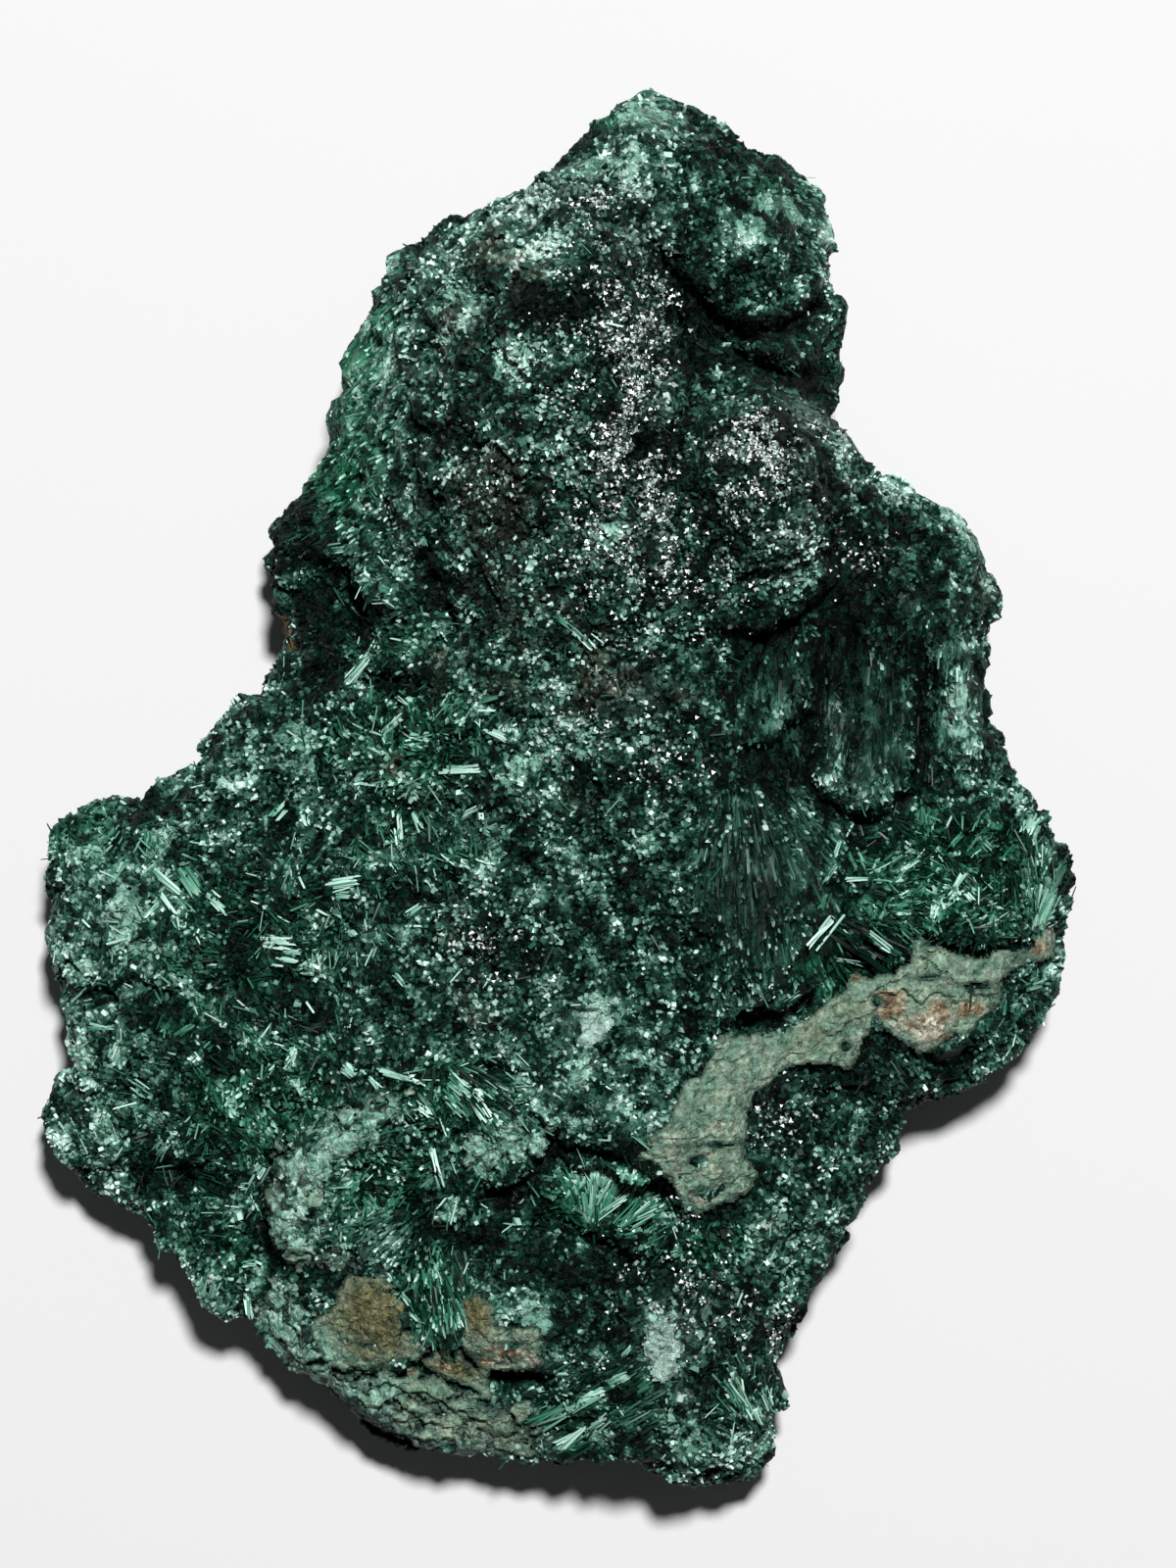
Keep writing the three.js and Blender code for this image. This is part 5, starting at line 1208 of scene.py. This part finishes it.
# The druse. On the ridge and the dome the tips are tiny crystals that grew side by side, with bright end
# faces. They stand nearly parallel, so they flash together, and the palest are painted nearly white as
# painted glints.
SPARKLE_PATCHES = (
    (6.6, 36, 2.2, 5, 1.0), (3, 42, 3, 4, 0.25), (2, 34, 4, 6, 0.2), (5, 22, 5, 8, 0.4),
    (13, 18, 4, 4, 0.3), (21, 22, 3, 3, 0.25), (15.5, 27.7, 2, 2, 0.9), (5.4, 29, 2, 3.4, 0.7),
    (8.4, 24.4, 2, 3, 0.85), (10, 20, 2, 3, 1.0), (17, 27.4, 2.2, 3.6, 0.9), (19.6, 25.4, 1.4, 1.6, 0.45),
    (4, 48.6, 2.4, 1.4, 0.6), (8.6, 39.6, 1.6, 2.4, 0.7), (6.4, 10.6, 1.8, 2, 0.4), (2, 5.4, 2.6, 2, 0.35),
    (14.4, 23, 1.6, 2, 0.4), (26.6, 20, 2.4, 1.6, 0.3), (-5.4, -13, 3, 4, 0.3), (12, -42, 5, 4, 0.3),
    (8.6, -35, 4, 1.6, 0.3), (19.6, -46, 1.6, 2.4, 0.35), (20, -27, 3, 3, 0.3), (9.6, 2.4, 4, 3, 0.25),
    (22.6, 31, 3, 1.4, 0.3), (-6, 26, 3, 4, 0.2),
)
DRUSE_TOTAL = 7600
PARALLEL_FACES = (0.04, 0.16, 0.98)
druse_finish = fibre_material("malachite_druse", 0.32, 0.45, 0.1)
druse_weight = patches_at(skin, SPARKLE_PATCHES) ** 1.5 * bare * smoothstep(0.0, 0.5, skin_normals[:, 2])
druse_weight *= smoothstep(-0.2, 0.25, ragged(skin, 1.8 * MM, 95.0))
roots, facing = throw_roots(DRUSE_TOTAL, druse_weight, 9)
count = len(roots)
stray = np.where(draw.random(count) < 0.4, 0.1, 0.36)[:, None]
along = unit(np.array([PARALLEL_FACES]) + stray * draw.normal(size=(count, 3)))
width = draw.uniform(0.22, 0.58, count) * MM
broad = draw.normal(size=(count, 3))
depth = width * draw.uniform(0.6, 1.0, count)
length = draw.uniform(0.35, 0.6, count) * MM
taper = draw.uniform(0.75, 1.0, count)
# A few crystals get a tone near 1, painted nearly white as painted glints
shares = {"tone": 0.12 + 0.88 * draw.random(count) ** 1.6, "druse": np.ones(count)}
grow("druse", 3, roots - along * 0.2 * MM, along, broad, width, depth, length, taper, np.zeros(count),
     shares, druse_finish)


# The ribs. In the fans and columns the fibres lie side by side for several millimetres, like wood grain.
# They are long thin blades of the same malachite, fused to the skin along their whole length.
RIBS_PER_AREA = 1.8
RIB_STRAY = 0.06  # how far their headings stray, in radians
RIB_RISE = 0.12  # how far they stand over the skin, in millimetres
STEEPEST = 2.4  # no rib runs down a face that is steeper than this against half its length
WIDEST_GAP = 0.5  # no rib bridges a hollow that is deeper than this, in millimetres


def drop_to_skin(x, y):
    hit = final_skin.ray_cast(Vector((x, y, RAY_START)), DOWN)
    return hit[0] if hit[0] is not None else Vector((x, y, 0.0))


def line_on_skin(x, y, half, angle):
    """Both ends of a line on the skin, from its middle, half length and heading as seen from above."""
    run_x, run_y = half * math.cos(angle), half * math.sin(angle)
    return [drop_to_skin((x + way * run_x) * MM, (y + way * run_y) * MM) for way in (-1, 1)]


rib_rows = []
for px, py, rx, ry, from_x, from_y, _, _, ribbed in FANS:
    for _ in range(int(4 * rx * ry * ribbed * RIBS_PER_AREA)):
        x, y = px + rx * draw.uniform(-1.0, 1.0), py + ry * draw.uniform(-1.0, 1.0)
        angle = math.atan2(y - from_y, x - from_x) + draw.normal(0, RIB_STRAY)
        half = draw.uniform(0.5, 0.9 + 0.8 * ribbed)
        wide = draw.uniform(0.18, 0.36)
        if ((x - px) / rx) ** 4 + ((y - py) / ry) ** 4 > 1.0:
            continue
        ends = line_on_skin(x, y, half, angle)
        middle = drop_to_skin(x * MM, y * MM)
        steep = abs(ends[0].z - ends[1].z) > STEEPEST * half * MM
        bridge = (ends[0].z + ends[1].z) / 2 - middle.z > WIDEST_GAP * MM
        if steep or bridge or min(ends[0].z, ends[1].z) < 2 * MM:
            continue
        rib_rows.append((*ends[0], *ends[1], wide * MM))
ribs = np.array(rib_rows)
ribs = ribs[rind_depth(ribs[:, 0:3]) < -0.2 * MM]
start, end, width = ribs[:, 0:3], ribs[:, 3:6], ribs[:, 6]
count = len(ribs)
middle = (start + end) / 2
broad = np.array([[0.0, 0.2, 1.0]]) + 0.25 * draw.normal(size=(count, 3))
taper = draw.uniform(0.6, 1.0, count)
slant = draw.uniform(-0.6, 0.6, count)
shares = {
    "tone": tone_at(middle) + draw.normal(-0.06, 0.1, count),
    "mint": mint_at(middle) * draw.random(count),
    "sage": sage_at(middle) * 0.6,
    "emerald": emerald_at(middle),
    "druse": druse_at(middle),
}
length = np.linalg.norm(end - start, axis=1)
grow("ribs", 4, start + (0, 0, RIB_RISE * MM), unit(end - start), broad, width, width * 0.7, length, taper,
     slant, shares, fibre_material("malachite_ribs", 0.5, 0.08, 0.12))


# The sprays. Where there was room the fibres grew into separate flat blades, one to five millimetres long,
# that lie in loose bundles and fans. The ones that catch the light are painted nearly white, a painted
# highlight. The larger ones: middle, heading in degrees, length, width, how many, how far apart, and
# paleness, all in millimetres but the heading and the paleness. Paleness is partly the blades' own pale green
# and, near 1, a painted highlight.
SPRAYS = (
    (-15, 1.2, -8, 2.1, 0.6, 1, 0, 0.95), (-12.4, -2.4, 93, 3.0, 0.35, 2, 0.3, 1.0),
    (-11.1, -1.7, -60, 2.0, 0.35, 2, 0.3, 0.9), (-13.1, -4.2, 90, 1.6, 0.25, 1, 0, 0.9),
    (-6.4, -1.2, 32, 2.6, 0.3, 3, 0.35, 0.95), (-20.6, -1.5, -78, 2.0, 0.5, 2, 0.3, 0.85),
    (-22.6, -1, 50, 1.8, 0.6, 2, 0.4, 0.8), (-23.8, -2, 85, 1.5, 0.5, 2, 0.3, 0.8),
    (-17.2, -7.1, 8, 2.8, 0.35, 4, 0.6, 0.95), (-17.2, -8, -3, 1.3, 0.35, 2, 0.2, 0.85),
    (-19, -9.5, -30, 1.1, 0.5, 1, 0, 1.0), (-17.8, -9.6, -30, 1.0, 0.45, 1, 0, 0.95),
    (-16.6, -10.9, -40, 1.4, 0.4, 3, 0.4, 0.9), (-11.2, -9.3, 32, 2.0, 0.3, 2, 0.25, 0.8),
    (-11.3, -10.6, 2, 1.4, 0.35, 1, 0, 0.9), (-22.9, -12.2, -5, 2.7, 0.45, 4, 0.6, 1.0),
    (-21.5, -12.9, 0, 1.6, 0.3, 2, 0.3, 0.9), (-22, -13.5, -7, 2.0, 0.35, 2, 0.3, 1.0),
    (-22.8, -14, 0, 1.0, 0.45, 1, 0, 1.0), (-20.4, -13.9, 26, 2.2, 0.4, 2, 0.25, 1.0),
    (-20.2, -14.6, 10, 1.3, 0.4, 2, 0.2, 0.95), (-12.4, -15.2, -52, 1.8, 0.3, 2, 0.2, 0.85),
    (-24.1, -19.9, 54, 2.1, 0.45, 1, 0, 1.0), (-23.2, -22.5, 45, 1.5, 0.35, 1, 0, 1.0),
    (-21.8, -21.9, 66, 2.0, 0.4, 3, 0.5, 0.95), (-21.2, -24.3, -60, 1.5, 0.35, 2, 0.3, 0.9),
    (-22.2, -18, 85, 0.8, 0.3, 1, 0, 1.0), (-16, 11, 50, 3.4, 0.35, 4, 0.4, 0.9),
    (-14.6, 13.4, 58, 2.2, 0.3, 2, 0.3, 0.85), (-12.9, 6.3, 38, 2.2, 0.45, 3, 0.5, 0.95),
    (-14.5, 5.5, -20, 1.3, 0.4, 1, 0, 0.9), (-14.3, 4.1, -28, 1.4, 0.3, 4, 0.6, 0.95),
    (-8, 7.6, 38, 1.9, 0.3, 2, 0.3, 0.7), (-5.1, 7.3, 0, 1.6, 0.35, 1, 0, 0.95),
    (-4.8, 8.3, 8, 2.0, 0.2, 2, 0.3, 0.7), (-4.3, 5.3, -28, 2.3, 0.35, 3, 0.35, 0.95),
    (-6, 6.4, -45, 0.9, 0.3, 1, 0, 1.0), (-7.2, 2.4, 4, 3.7, 0.4, 3, 0.35, 0.95),
    (-11, 1.1, -10, 1.0, 0.35, 2, 0.3, 0.8), (2.8, 13, -42, 3.2, 0.3, 3, 0.5, 0.85),
    (1.2, 14.6, -42, 2.2, 0.25, 2, 0.3, 0.7), (-8.7, 5.2, -18, 1.2, 0.3, 2, 0.3, 0.8),
    (25.3, -2.6, 60, 1.5, 0.4, 1, 0, 1.0), (24.1, -4.2, 68, 1.7, 0.35, 2, 0.2, 0.85),
    (23.4, -6.2, 66, 2.0, 0.3, 3, 0.4, 0.6), (22.7, -8.4, 66, 2.0, 0.3, 3, 0.4, 0.55),
    (22.7, -11, 50, 4.0, 0.45, 3, 0.45, 1.0), (25.6, -13.8, -17, 3.2, 0.2, 2, 0.2, 0.95),
    (26.2, -12.6, -33, 5.2, 0.9, 3, 1.0, 0.12), (25, -11.6, -33, 4.6, 0.8, 3, 0.8, 0.1),
    (28, -12, -40, 2.6, 0.3, 4, 0.6, 0.75), (30.3, -3.8, -45, 1.0, 0.4, 1, 0, 1.0),
    (33.8, -2, 68, 1.2, 0.35, 1, 0, 1.0), (33.6, -0.7, 25, 1.1, 0.25, 1, 0, 0.8),
    (34.4, -3.5, 50, 1.7, 0.3, 3, 0.3, 0.7), (36.9, -3.8, -50, 1.6, 0.3, 3, 0.4, 0.6),
    (25.9, -6.7, -3, 2.2, 0.25, 2, 0.2, 0.95), (28.2, -7, -3, 1.8, 0.25, 2, 0.2, 0.75),
    (34.6, -6.9, 60, 2.0, 0.45, 2, 0.3, 0.9), (34.1, -8.0, 50, 1.1, 0.4, 2, 0.3, 1.0),
    (35.3, -8.2, -48, 1.3, 0.3, 2, 0.3, 1.0), (36.3, -8, 88, 1.8, 0.3, 1, 0, 1.0),
    (37.5, -7, 42, 2.3, 0.22, 1, 0, 0.8), (32.4, -9.4, 70, 1.5, 0.35, 3, 0.4, 1.0),
    (33.4, -9, 40, 1.0, 0.4, 2, 0.3, 1.0), (35.3, -10.1, -62, 1.3, 0.45, 1, 0, 1.0),
    (35.7, -10.9, -70, 1.1, 0.25, 1, 0, 0.9), (38, -9.2, -10, 0.9, 0.4, 1, 0, 1.0),
    (32, -1.5, -85, 2.0, 0.3, 5, 0.9, 0.5), (42, -9.4, 68, 4.4, 0.45, 5, 0.7, 0.68),
    (43, -6.8, 62, 3, 0.4, 3, 0.5, 0.58), (41, -2.4, 60, 1.8, 0.5, 4, 0.7, 0.85),
    (39.4, -8, 95, 3.0, 0.25, 5, 1.6, 0.3), (38, -11, 100, 2.2, 0.25, 5, 1.6, 0.3),
    (27.6, -9.6, 72, 1.4, 0.3, 3, 0.8, 0.7), (30.4, -11.4, -38, 2.0, 0.3, 4, 1.0, 0.55),
    (29.6, -9, 10, 1.4, 0.5, 3, 0.8, 0.7), (26, -5, -60, 1.6, 0.3, 4, 0.7, 0.6),
    (2.9, -33.9, 95, 2.6, 0.24, 2, 0.3, 0.65), (3.7, -33.4, 87, 3.2, 0.28, 3, 0.3, 0.75),
    (4.7, -33.2, 62, 3, 0.36, 3, 0.5, 0.75), (5.6, -33.2, 50, 2.8, 0.4, 3, 0.5, 0.65),
    (5.6, -34.2, 33, 3.4, 0.28, 3, 0.3, 0.8), (6.9, -34.7, 46, 4.2, 0.24, 3, 0.4, 0.7),
    (7.4, -35, 35, 4.2, 0.28, 4, 0.5, 0.7), (7.8, -35.2, 22, 3.4, 0.32, 3, 0.4, 0.7),
    (8.4, -34.4, 28, 2, 0.28, 3, 0.5, 0.65), (2.4, -34.6, 140, 1.4, 0.28, 3, 0.4, 0.55),
    (9, -36.4, 30, 1.6, 0.24, 3, 0.6, 0.6), (10.8, -38.2, 20, 1, 0.28, 2, 0.3, 0.7),
    (1.4, -34.7, 0, 1.4, 0.24, 2, 0.3, 0.6), (8.6, -37.6, 60, 2, 0.24, 5, 1.2, 0.4),
    (6.2, -36, 0, 1.4, 0.32, 2, 0.3, 0.65), (-0.2, -52.6, 33, 3.6, 0.4, 3, 0.5, 0.75),
    (3.2, -50.8, 33, 3.6, 0.5, 4, 0.6, 0.95), (5.8, -49, 30, 2.2, 0.4, 4, 0.6, 0.85),
    (2, -54.4, 35, 3.6, 0.4, 4, 0.6, 0.9), (4, -53, 48, 2.0, 0.4, 4, 0.5, 0.95),
    (5.9, -51.6, -50, 1.2, 0.25, 1, 0, 0.95), (16, -50.4, -62, 3.2, 0.3, 4, 0.7, 0.6),
    (17.5, -52, -60, 2.6, 0.3, 4, 0.6, 0.8), (18.6, -51.2, -68, 2.2, 0.3, 3, 0.4, 0.85),
    (16.6, -54.4, -25, 1.4, 0.4, 1, 0, 0.95), (19.4, -53.4, -60, 1.6, 0.3, 3, 0.4, 0.7),
    (4.4, -47.1, 60, 0.8, 0.3, 1, 0, 1.0), (1, -48.6, 8, 1.2, 0.3, 2, 0.2, 0.9),
    (6.4, -46.6, 55, 1.2, 0.3, 2, 0.3, 0.8), (-10.6, -25.7, -27, 2.6, 0.4, 3, 0.35, 1.0),
    (-12.7, -23.1, -12, 3.4, 0.4, 4, 0.4, 0.9), (-9.8, -23.4, -3, 2.0, 0.3, 1, 0, 0.9),
    (-7.4, -23.8, -38, 2.2, 0.35, 4, 0.6, 0.85), (-6.2, -24, -52, 2.4, 0.4, 4, 0.5, 1.0),
    (-5.4, -25.8, -52, 2.0, 0.35, 4, 0.6, 0.9), (-7.6, -25.4, -45, 2.4, 0.3, 4, 0.7, 0.75),
    (-9.6, -30.2, -80, 2.5, 0.35, 2, 0.3, 1.0), (-8, -30.8, -68, 1.3, 0.3, 1, 0, 0.95),
    (-9.1, -31.9, -75, 1.6, 0.35, 3, 0.4, 0.85), (-16.8, -22.8, -42, 1.7, 0.5, 3, 0.4, 0.85),
    (-15, -23.6, -45, 2.6, 0.3, 2, 0.3, 0.85), (-22.6, -28.6, 60, 0.9, 0.4, 1, 0, 1.0),
    (-24.9, -31.3, 75, 1.1, 0.35, 1, 0, 1.0), (-24.6, -32, 60, 2.3, 0.3, 3, 0.5, 0.9),
    (-26, -33, 0, 1.0, 0.3, 2, 0.4, 0.9), (-25.8, -43.3, -82, 2.3, 0.6, 2, 0.3, 0.9),
    (-25, -40.4, 80, 1.3, 0.35, 3, 0.6, 0.85), (-25.6, -39.6, 5, 1.4, 0.3, 2, 0.4, 0.85),
    (-11.4, -43.7, -40, 1.3, 0.5, 2, 0.3, 0.85), (-12, -42.1, -48, 1.1, 0.35, 2, 0.2, 0.8),
    (-14.9, -34, -52, 1.9, 0.4, 3, 0.4, 0.65), (-12.8, -34, 65, 1.6, 0.3, 5, 0.8, 0.6),
    (-6.3, -35.2, 75, 1.4, 0.35, 3, 0.4, 0.65), (-3.3, -35.7, -6, 1.3, 0.25, 1, 0, 0.85),
    (-2.3, -33.8, 50, 0.8, 0.35, 1, 0, 0.85), (-9.4, -42, -78, 2.6, 0.35, 4, 1.2, 0.2),
    (-8.8, -45.6, -75, 2.2, 0.35, 3, 1, 0.2), (-13, -38, 33, 2.6, 0.25, 6, 1.6, 0.35),
    (-16.4, -36.6, 20, 1.6, 0.25, 4, 1.0, 0.5), (-4.4, -42.6, 60, 1.4, 0.3, 4, 0.8, 0.65),
    (-37, -3.3, 58, 1.9, 0.4, 3, 0.5, 0.75), (-38.8, -4.1, -12, 1.9, 0.35, 2, 0.3, 0.75),
    (-36.6, -6.2, 55, 3.0, 0.4, 3, 0.5, 0.75), (-32.4, -7.1, -38, 3.4, 0.35, 3, 0.4, 0.8),
    (-30.4, -7, -52, 2.8, 0.5, 4, 0.6, 0.8), (-32.3, -8.7, -55, 2.1, 0.4, 2, 0.3, 0.95),
    (-33.4, -9.3, 50, 1.9, 0.35, 2, 0.3, 0.85), (-31.7, -10.5, -62, 1.2, 0.3, 1, 0, 0.85),
    (-28, -8.8, -45, 2.1, 0.45, 4, 0.6, 0.85), (-32.5, -2.9, -70, 1.1, 0.3, 1, 0, 0.9),
    (-33.8, -3.8, 85, 1.2, 0.25, 5, 0.8, 0.6), (-38, -19.4, 0, 2.4, 0.4, 2, 0.4, 0.8),
    (-31.6, -14.6, 10, 1.2, 0.3, 2, 0.4, 0.6), (-37, -21.6, 70, 1.4, 0.4, 3, 0.5, 0.95),
    (-31, -19.4, 30, 1.8, 0.3, 3, 0.6, 0.7), (-39.4, -10.6, -42, 1.0, 0.3, 1, 0, 0.9),
    (-24.4, -5.6, -75, 1.4, 0.25, 1, 0, 0.8), (-20.7, -7, -60, 1.1, 0.3, 1, 0, 1.0),
    (-29.4, -41.6, 70, 1.6, 0.35, 4, 0.8, 0.8), (-33, -30, 55, 1.8, 0.3, 4, 0.8, 0.75),
    (-35, -24.6, -35, 1.6, 0.3, 3, 0.6, 0.75), (-18, 21, 8, 2.0, 0.3, 3, 0.4, 0.8),
    (-17.6, 30, 62, 1.6, 0.25, 2, 1.4, 0.5), (-14.6, 25.6, -62, 1.6, 0.25, 3, 1.0, 0.6),
    (30.6, -23, -55, 1.8, 0.25, 5, 1.4, 0.4), (38.6, -17.6, 88, 1.6, 0.3, 3, 0.8, 0.6),
    (41.4, -15.6, 20, 1.4, 0.4, 2, 0.5, 0.75), (23.6, -17.6, 60, 1.6, 0.3, 6, 1.2, 0.6),
    (20.4, -16.8, 35, 1.4, 0.3, 4, 0.8, 0.7), (3, 44.6, -50, 1.8, 0.15, 1, 0, 0.8),
    (3, 57.6, 30, 2.4, 0.25, 5, 1.2, 0.4), (7.6, -28.4, -38, 2.8, 0.25, 2, 0.2, 0.6),
    (4.6, -28.4, 0, 1.0, 0.3, 1, 0, 1.0),
)
# Where small loose blades lie as well
LOOSE_ZONES = (
    (-11, 4, 8, 5, 1.0), (-12, -4, 8, 5, 0.8), (-22, -11, 9, 6, 1.0), (-7, -25, 6, 3.5, 1.0),
    (5, -33.5, 5, 3, 1.2), (33, -7, 10, 6, 1.4), (24, -12, 4, 4, 1.0), (-14, -32, 8, 5, 0.9),
    (-24, -22, 10, 6, 0.9), (0, -53, 9, 4, 0.8), (-16, 34, 5, 14, 0.1), (-36, -9, 9, 9, 0.7),
    (-30, -30, 9, 8, 0.8), (18, -52, 3, 4, 0.8), (-15, 16, 5, 5, 0.9), (-9, -42, 4, 6, 1.1),
    (20, -17, 5, 2, 0.9), (40, -20, 5, 6, 0.5),
)
LOOSE_BLADES = 4400
# The blades were placed this far to the right and to the top, in millimetres. Their tips stand over the skin
# by the rise, and start no more than the sink below its middle. None lies lower than the lowest.
SPRAY_SHIFT = (0.23, 0.20)
TIP_RISE = 0.45
HIGHEST_RISE = 1.6
ROOT_SINK = 0.6
LOWEST = 1.5
draw = np.random.default_rng(29)
blades = []
for x, y, turn, long, wide, number, apart, pale in SPRAYS:
    for _ in range(int(number * 2.6) if apart else 1):
        angle = math.radians(turn + draw.normal(0, 5 if number > 1 else 1))
        side, step = draw.normal(0, 0.5) * apart, draw.normal(0, 0.4) * apart
        reach = 0.5 * long * draw.uniform(0.65, 1.05) * (1.0 if number == 1 else draw.uniform(0.7, 1.0))
        mid_x = x - SPRAY_SHIFT[0] + step * math.cos(angle) - side * math.sin(angle)
        mid_y = y - SPRAY_SHIFT[1] + step * math.sin(angle) + side * math.cos(angle)
        root, tip = line_on_skin(mid_x, mid_y, reach, angle)
        if not (root.z < tip.z or draw.random() < 0.4):
            root, tip = tip, root
        middle = drop_to_skin(mid_x * MM, mid_y * MM)
        if min(root.z, tip.z, middle.z) < LOWEST * MM:
            continue
        tip.z = min(max(tip.z, middle.z, root.z) + TIP_RISE * MM, tip.z + HIGHEST_RISE * MM)
        root.z = min(max(root.z, middle.z - ROOT_SINK * MM), tip.z)
        blades.append((*root, *tip, wide * MM * draw.uniform(0.55, 0.95), pale + draw.normal(0, 0.1)))
blades = np.array(blades)
placed_root, placed_tip, placed_pale_and_highlight = blades[:, 0:3], blades[:, 3:6], blades[:, 7]
placed_along = unit(placed_tip - placed_root)

loose_weight = patches_at(skin, LOOSE_ZONES) ** 1.5 + 0.02
loose_weight = loose_weight * (1.0 - calm) ** 2 * bare * smoothstep(0.3, 0.7, skin_normals[:, 2])
loose_weight = loose_weight * smoothstep(1 * MM, 2.5 * MM, skin[:, 2])
roots, facing = throw_roots(LOOSE_BLADES, loose_weight, 5)
count = len(roots)
index = np.array([tuft_tree.find(p)[1] for p in roots])
pull = fan_pull(roots)
strength = np.linalg.norm(pull, axis=1)[:, None]
heading = 2.0 * pull + (1.0 - strength) * 1.2 * unit(tuft_lean)[index] + 0.3 * draw.normal(size=(count, 3))
heading = across_skin(heading, facing)
tilt = np.radians(draw.uniform(66, 86, count))
loose_along = facing * np.cos(tilt)[:, None] + heading * np.sin(tilt)[:, None]
loose_length = (0.6 + 1.3 * draw.random(count) ** 2) * MM

all_roots = np.concatenate([placed_root, roots - loose_along * 0.3 * MM])
all_along = np.concatenate([placed_along, loose_along])
turned_away = np.where(placed_pale_and_highlight[:, None] < 0.2, [[0.5, -0.7, 0.6]], [[0.0, 0.25, 1.0]])
all_broad = np.concatenate([turned_away + 0.2 * draw.normal(size=(len(blades), 3)),
                            facing + 0.5 * draw.normal(size=(count, 3))])
all_width = np.concatenate([blades[:, 6], draw.uniform(0.13, 0.28, count) * MM])
all_length = np.concatenate([np.linalg.norm(placed_tip - placed_root, axis=1), loose_length + 0.3 * MM])
# One in fourteen loose blades is painted paler still as a painted highlight
loose_pale_and_highlight = tone_at(roots) - 0.06 + draw.normal(0, 0.17, count) + 0.5 * (draw.random(count) > 0.93)
pale = np.concatenate([placed_pale_and_highlight, np.clip(loose_pale_and_highlight, 0, 1)])
taper = draw.uniform(0.5, 0.85, len(pale))
slant = draw.uniform(-0.8, 0.8, len(pale))
emerald = draw.uniform(0.35, 1.0, len(pale)) * np.where(pale > 0.8, 0.5, 1.0)
grow("sprays", 4, all_roots, all_along, all_broad, all_width, all_width * 0.5, all_length, taper, slant,
     {"tone": pale, "emerald": emerald}, fibre_material("malachite_sprays", 0.42, 0.16, 0.12))


# The table under the specimen, and the light. The table is a plain pale sheet, far wider than the frame.
# One lamp stands beyond the crown, and a pale room fills the shadows a little.
TABLE_REACH = 3.0
LAMP_PLACE = Vector((0.12, 0.43, 1.25))
LAMP_AIM = Vector((0, 0, 0.02))
LAMP_WIDTH = 0.15
LAMP_POWER = 24.0
ROOM_LIGHT = 0.045
table_mesh = bpy.data.meshes.new("table_top")
sheet = bmesh.new()
bmesh.ops.create_grid(sheet, x_segments=1, y_segments=1, size=TABLE_REACH)
sheet.to_mesh(table_mesh)
sheet.free()
table_top = bpy.data.objects.new("table_top", table_mesh)
bpy.context.scene.collection.objects.link(table_top)
paper = Nodes("table_paper")
paper.set_shader({"Base Color": (0.68, 0.68, 0.68, 1.0), "Roughness": 0.95, "Specular IOR Level": 0.0})
table_mesh.materials.append(paper.material)

room = bpy.data.worlds.new("room")
room.use_nodes = True
room.node_tree.nodes["Background"].inputs["Color"].default_value = (1.0, 1.0, 1.0, 1.0)
room.node_tree.nodes["Background"].inputs["Strength"].default_value = ROOM_LIGHT
bpy.context.scene.world = room
bpy.context.scene.view_settings.view_transform = "Standard"

lamp = bpy.data.lights.new("key_light", "AREA")
lamp.shape = "DISK"
lamp.size = LAMP_WIDTH
lamp.energy = LAMP_POWER
key_light = bpy.data.objects.new("key_light", lamp)
key_light.location = LAMP_PLACE
key_light.rotation_euler = (LAMP_AIM - LAMP_PLACE).to_track_quat("-Z", "Y").to_euler()
bpy.context.scene.collection.objects.link(key_light)


# The camera looks straight down, with the crown towards the top of the picture. Its lens is set so that the
# frame is as high as the photo's at the height where the specimen is widest.
CAMERA_HEIGHT = 0.52
WIDEST_HEIGHT = 0.010
PHOTO_ROWS = 1600
PIXEL_WIDTH = 0.084  # millimetres of the specimen to a pixel of the photo
SENSOR_HEIGHT = 24.0
camera_data = bpy.data.cameras.new("camera")
camera_data.sensor_fit = "VERTICAL"
camera_data.sensor_height = SENSOR_HEIGHT
camera_data.lens = SENSOR_HEIGHT * (CAMERA_HEIGHT - WIDEST_HEIGHT) / (PHOTO_ROWS * PIXEL_WIDTH * MM)
camera_data.clip_start = 0.01
camera = bpy.data.objects.new("camera", camera_data)
camera.location = (3.05 * MM, 1.06 * MM, CAMERA_HEIGHT)
bpy.context.scene.collection.objects.link(camera)
bpy.context.scene.camera = camera
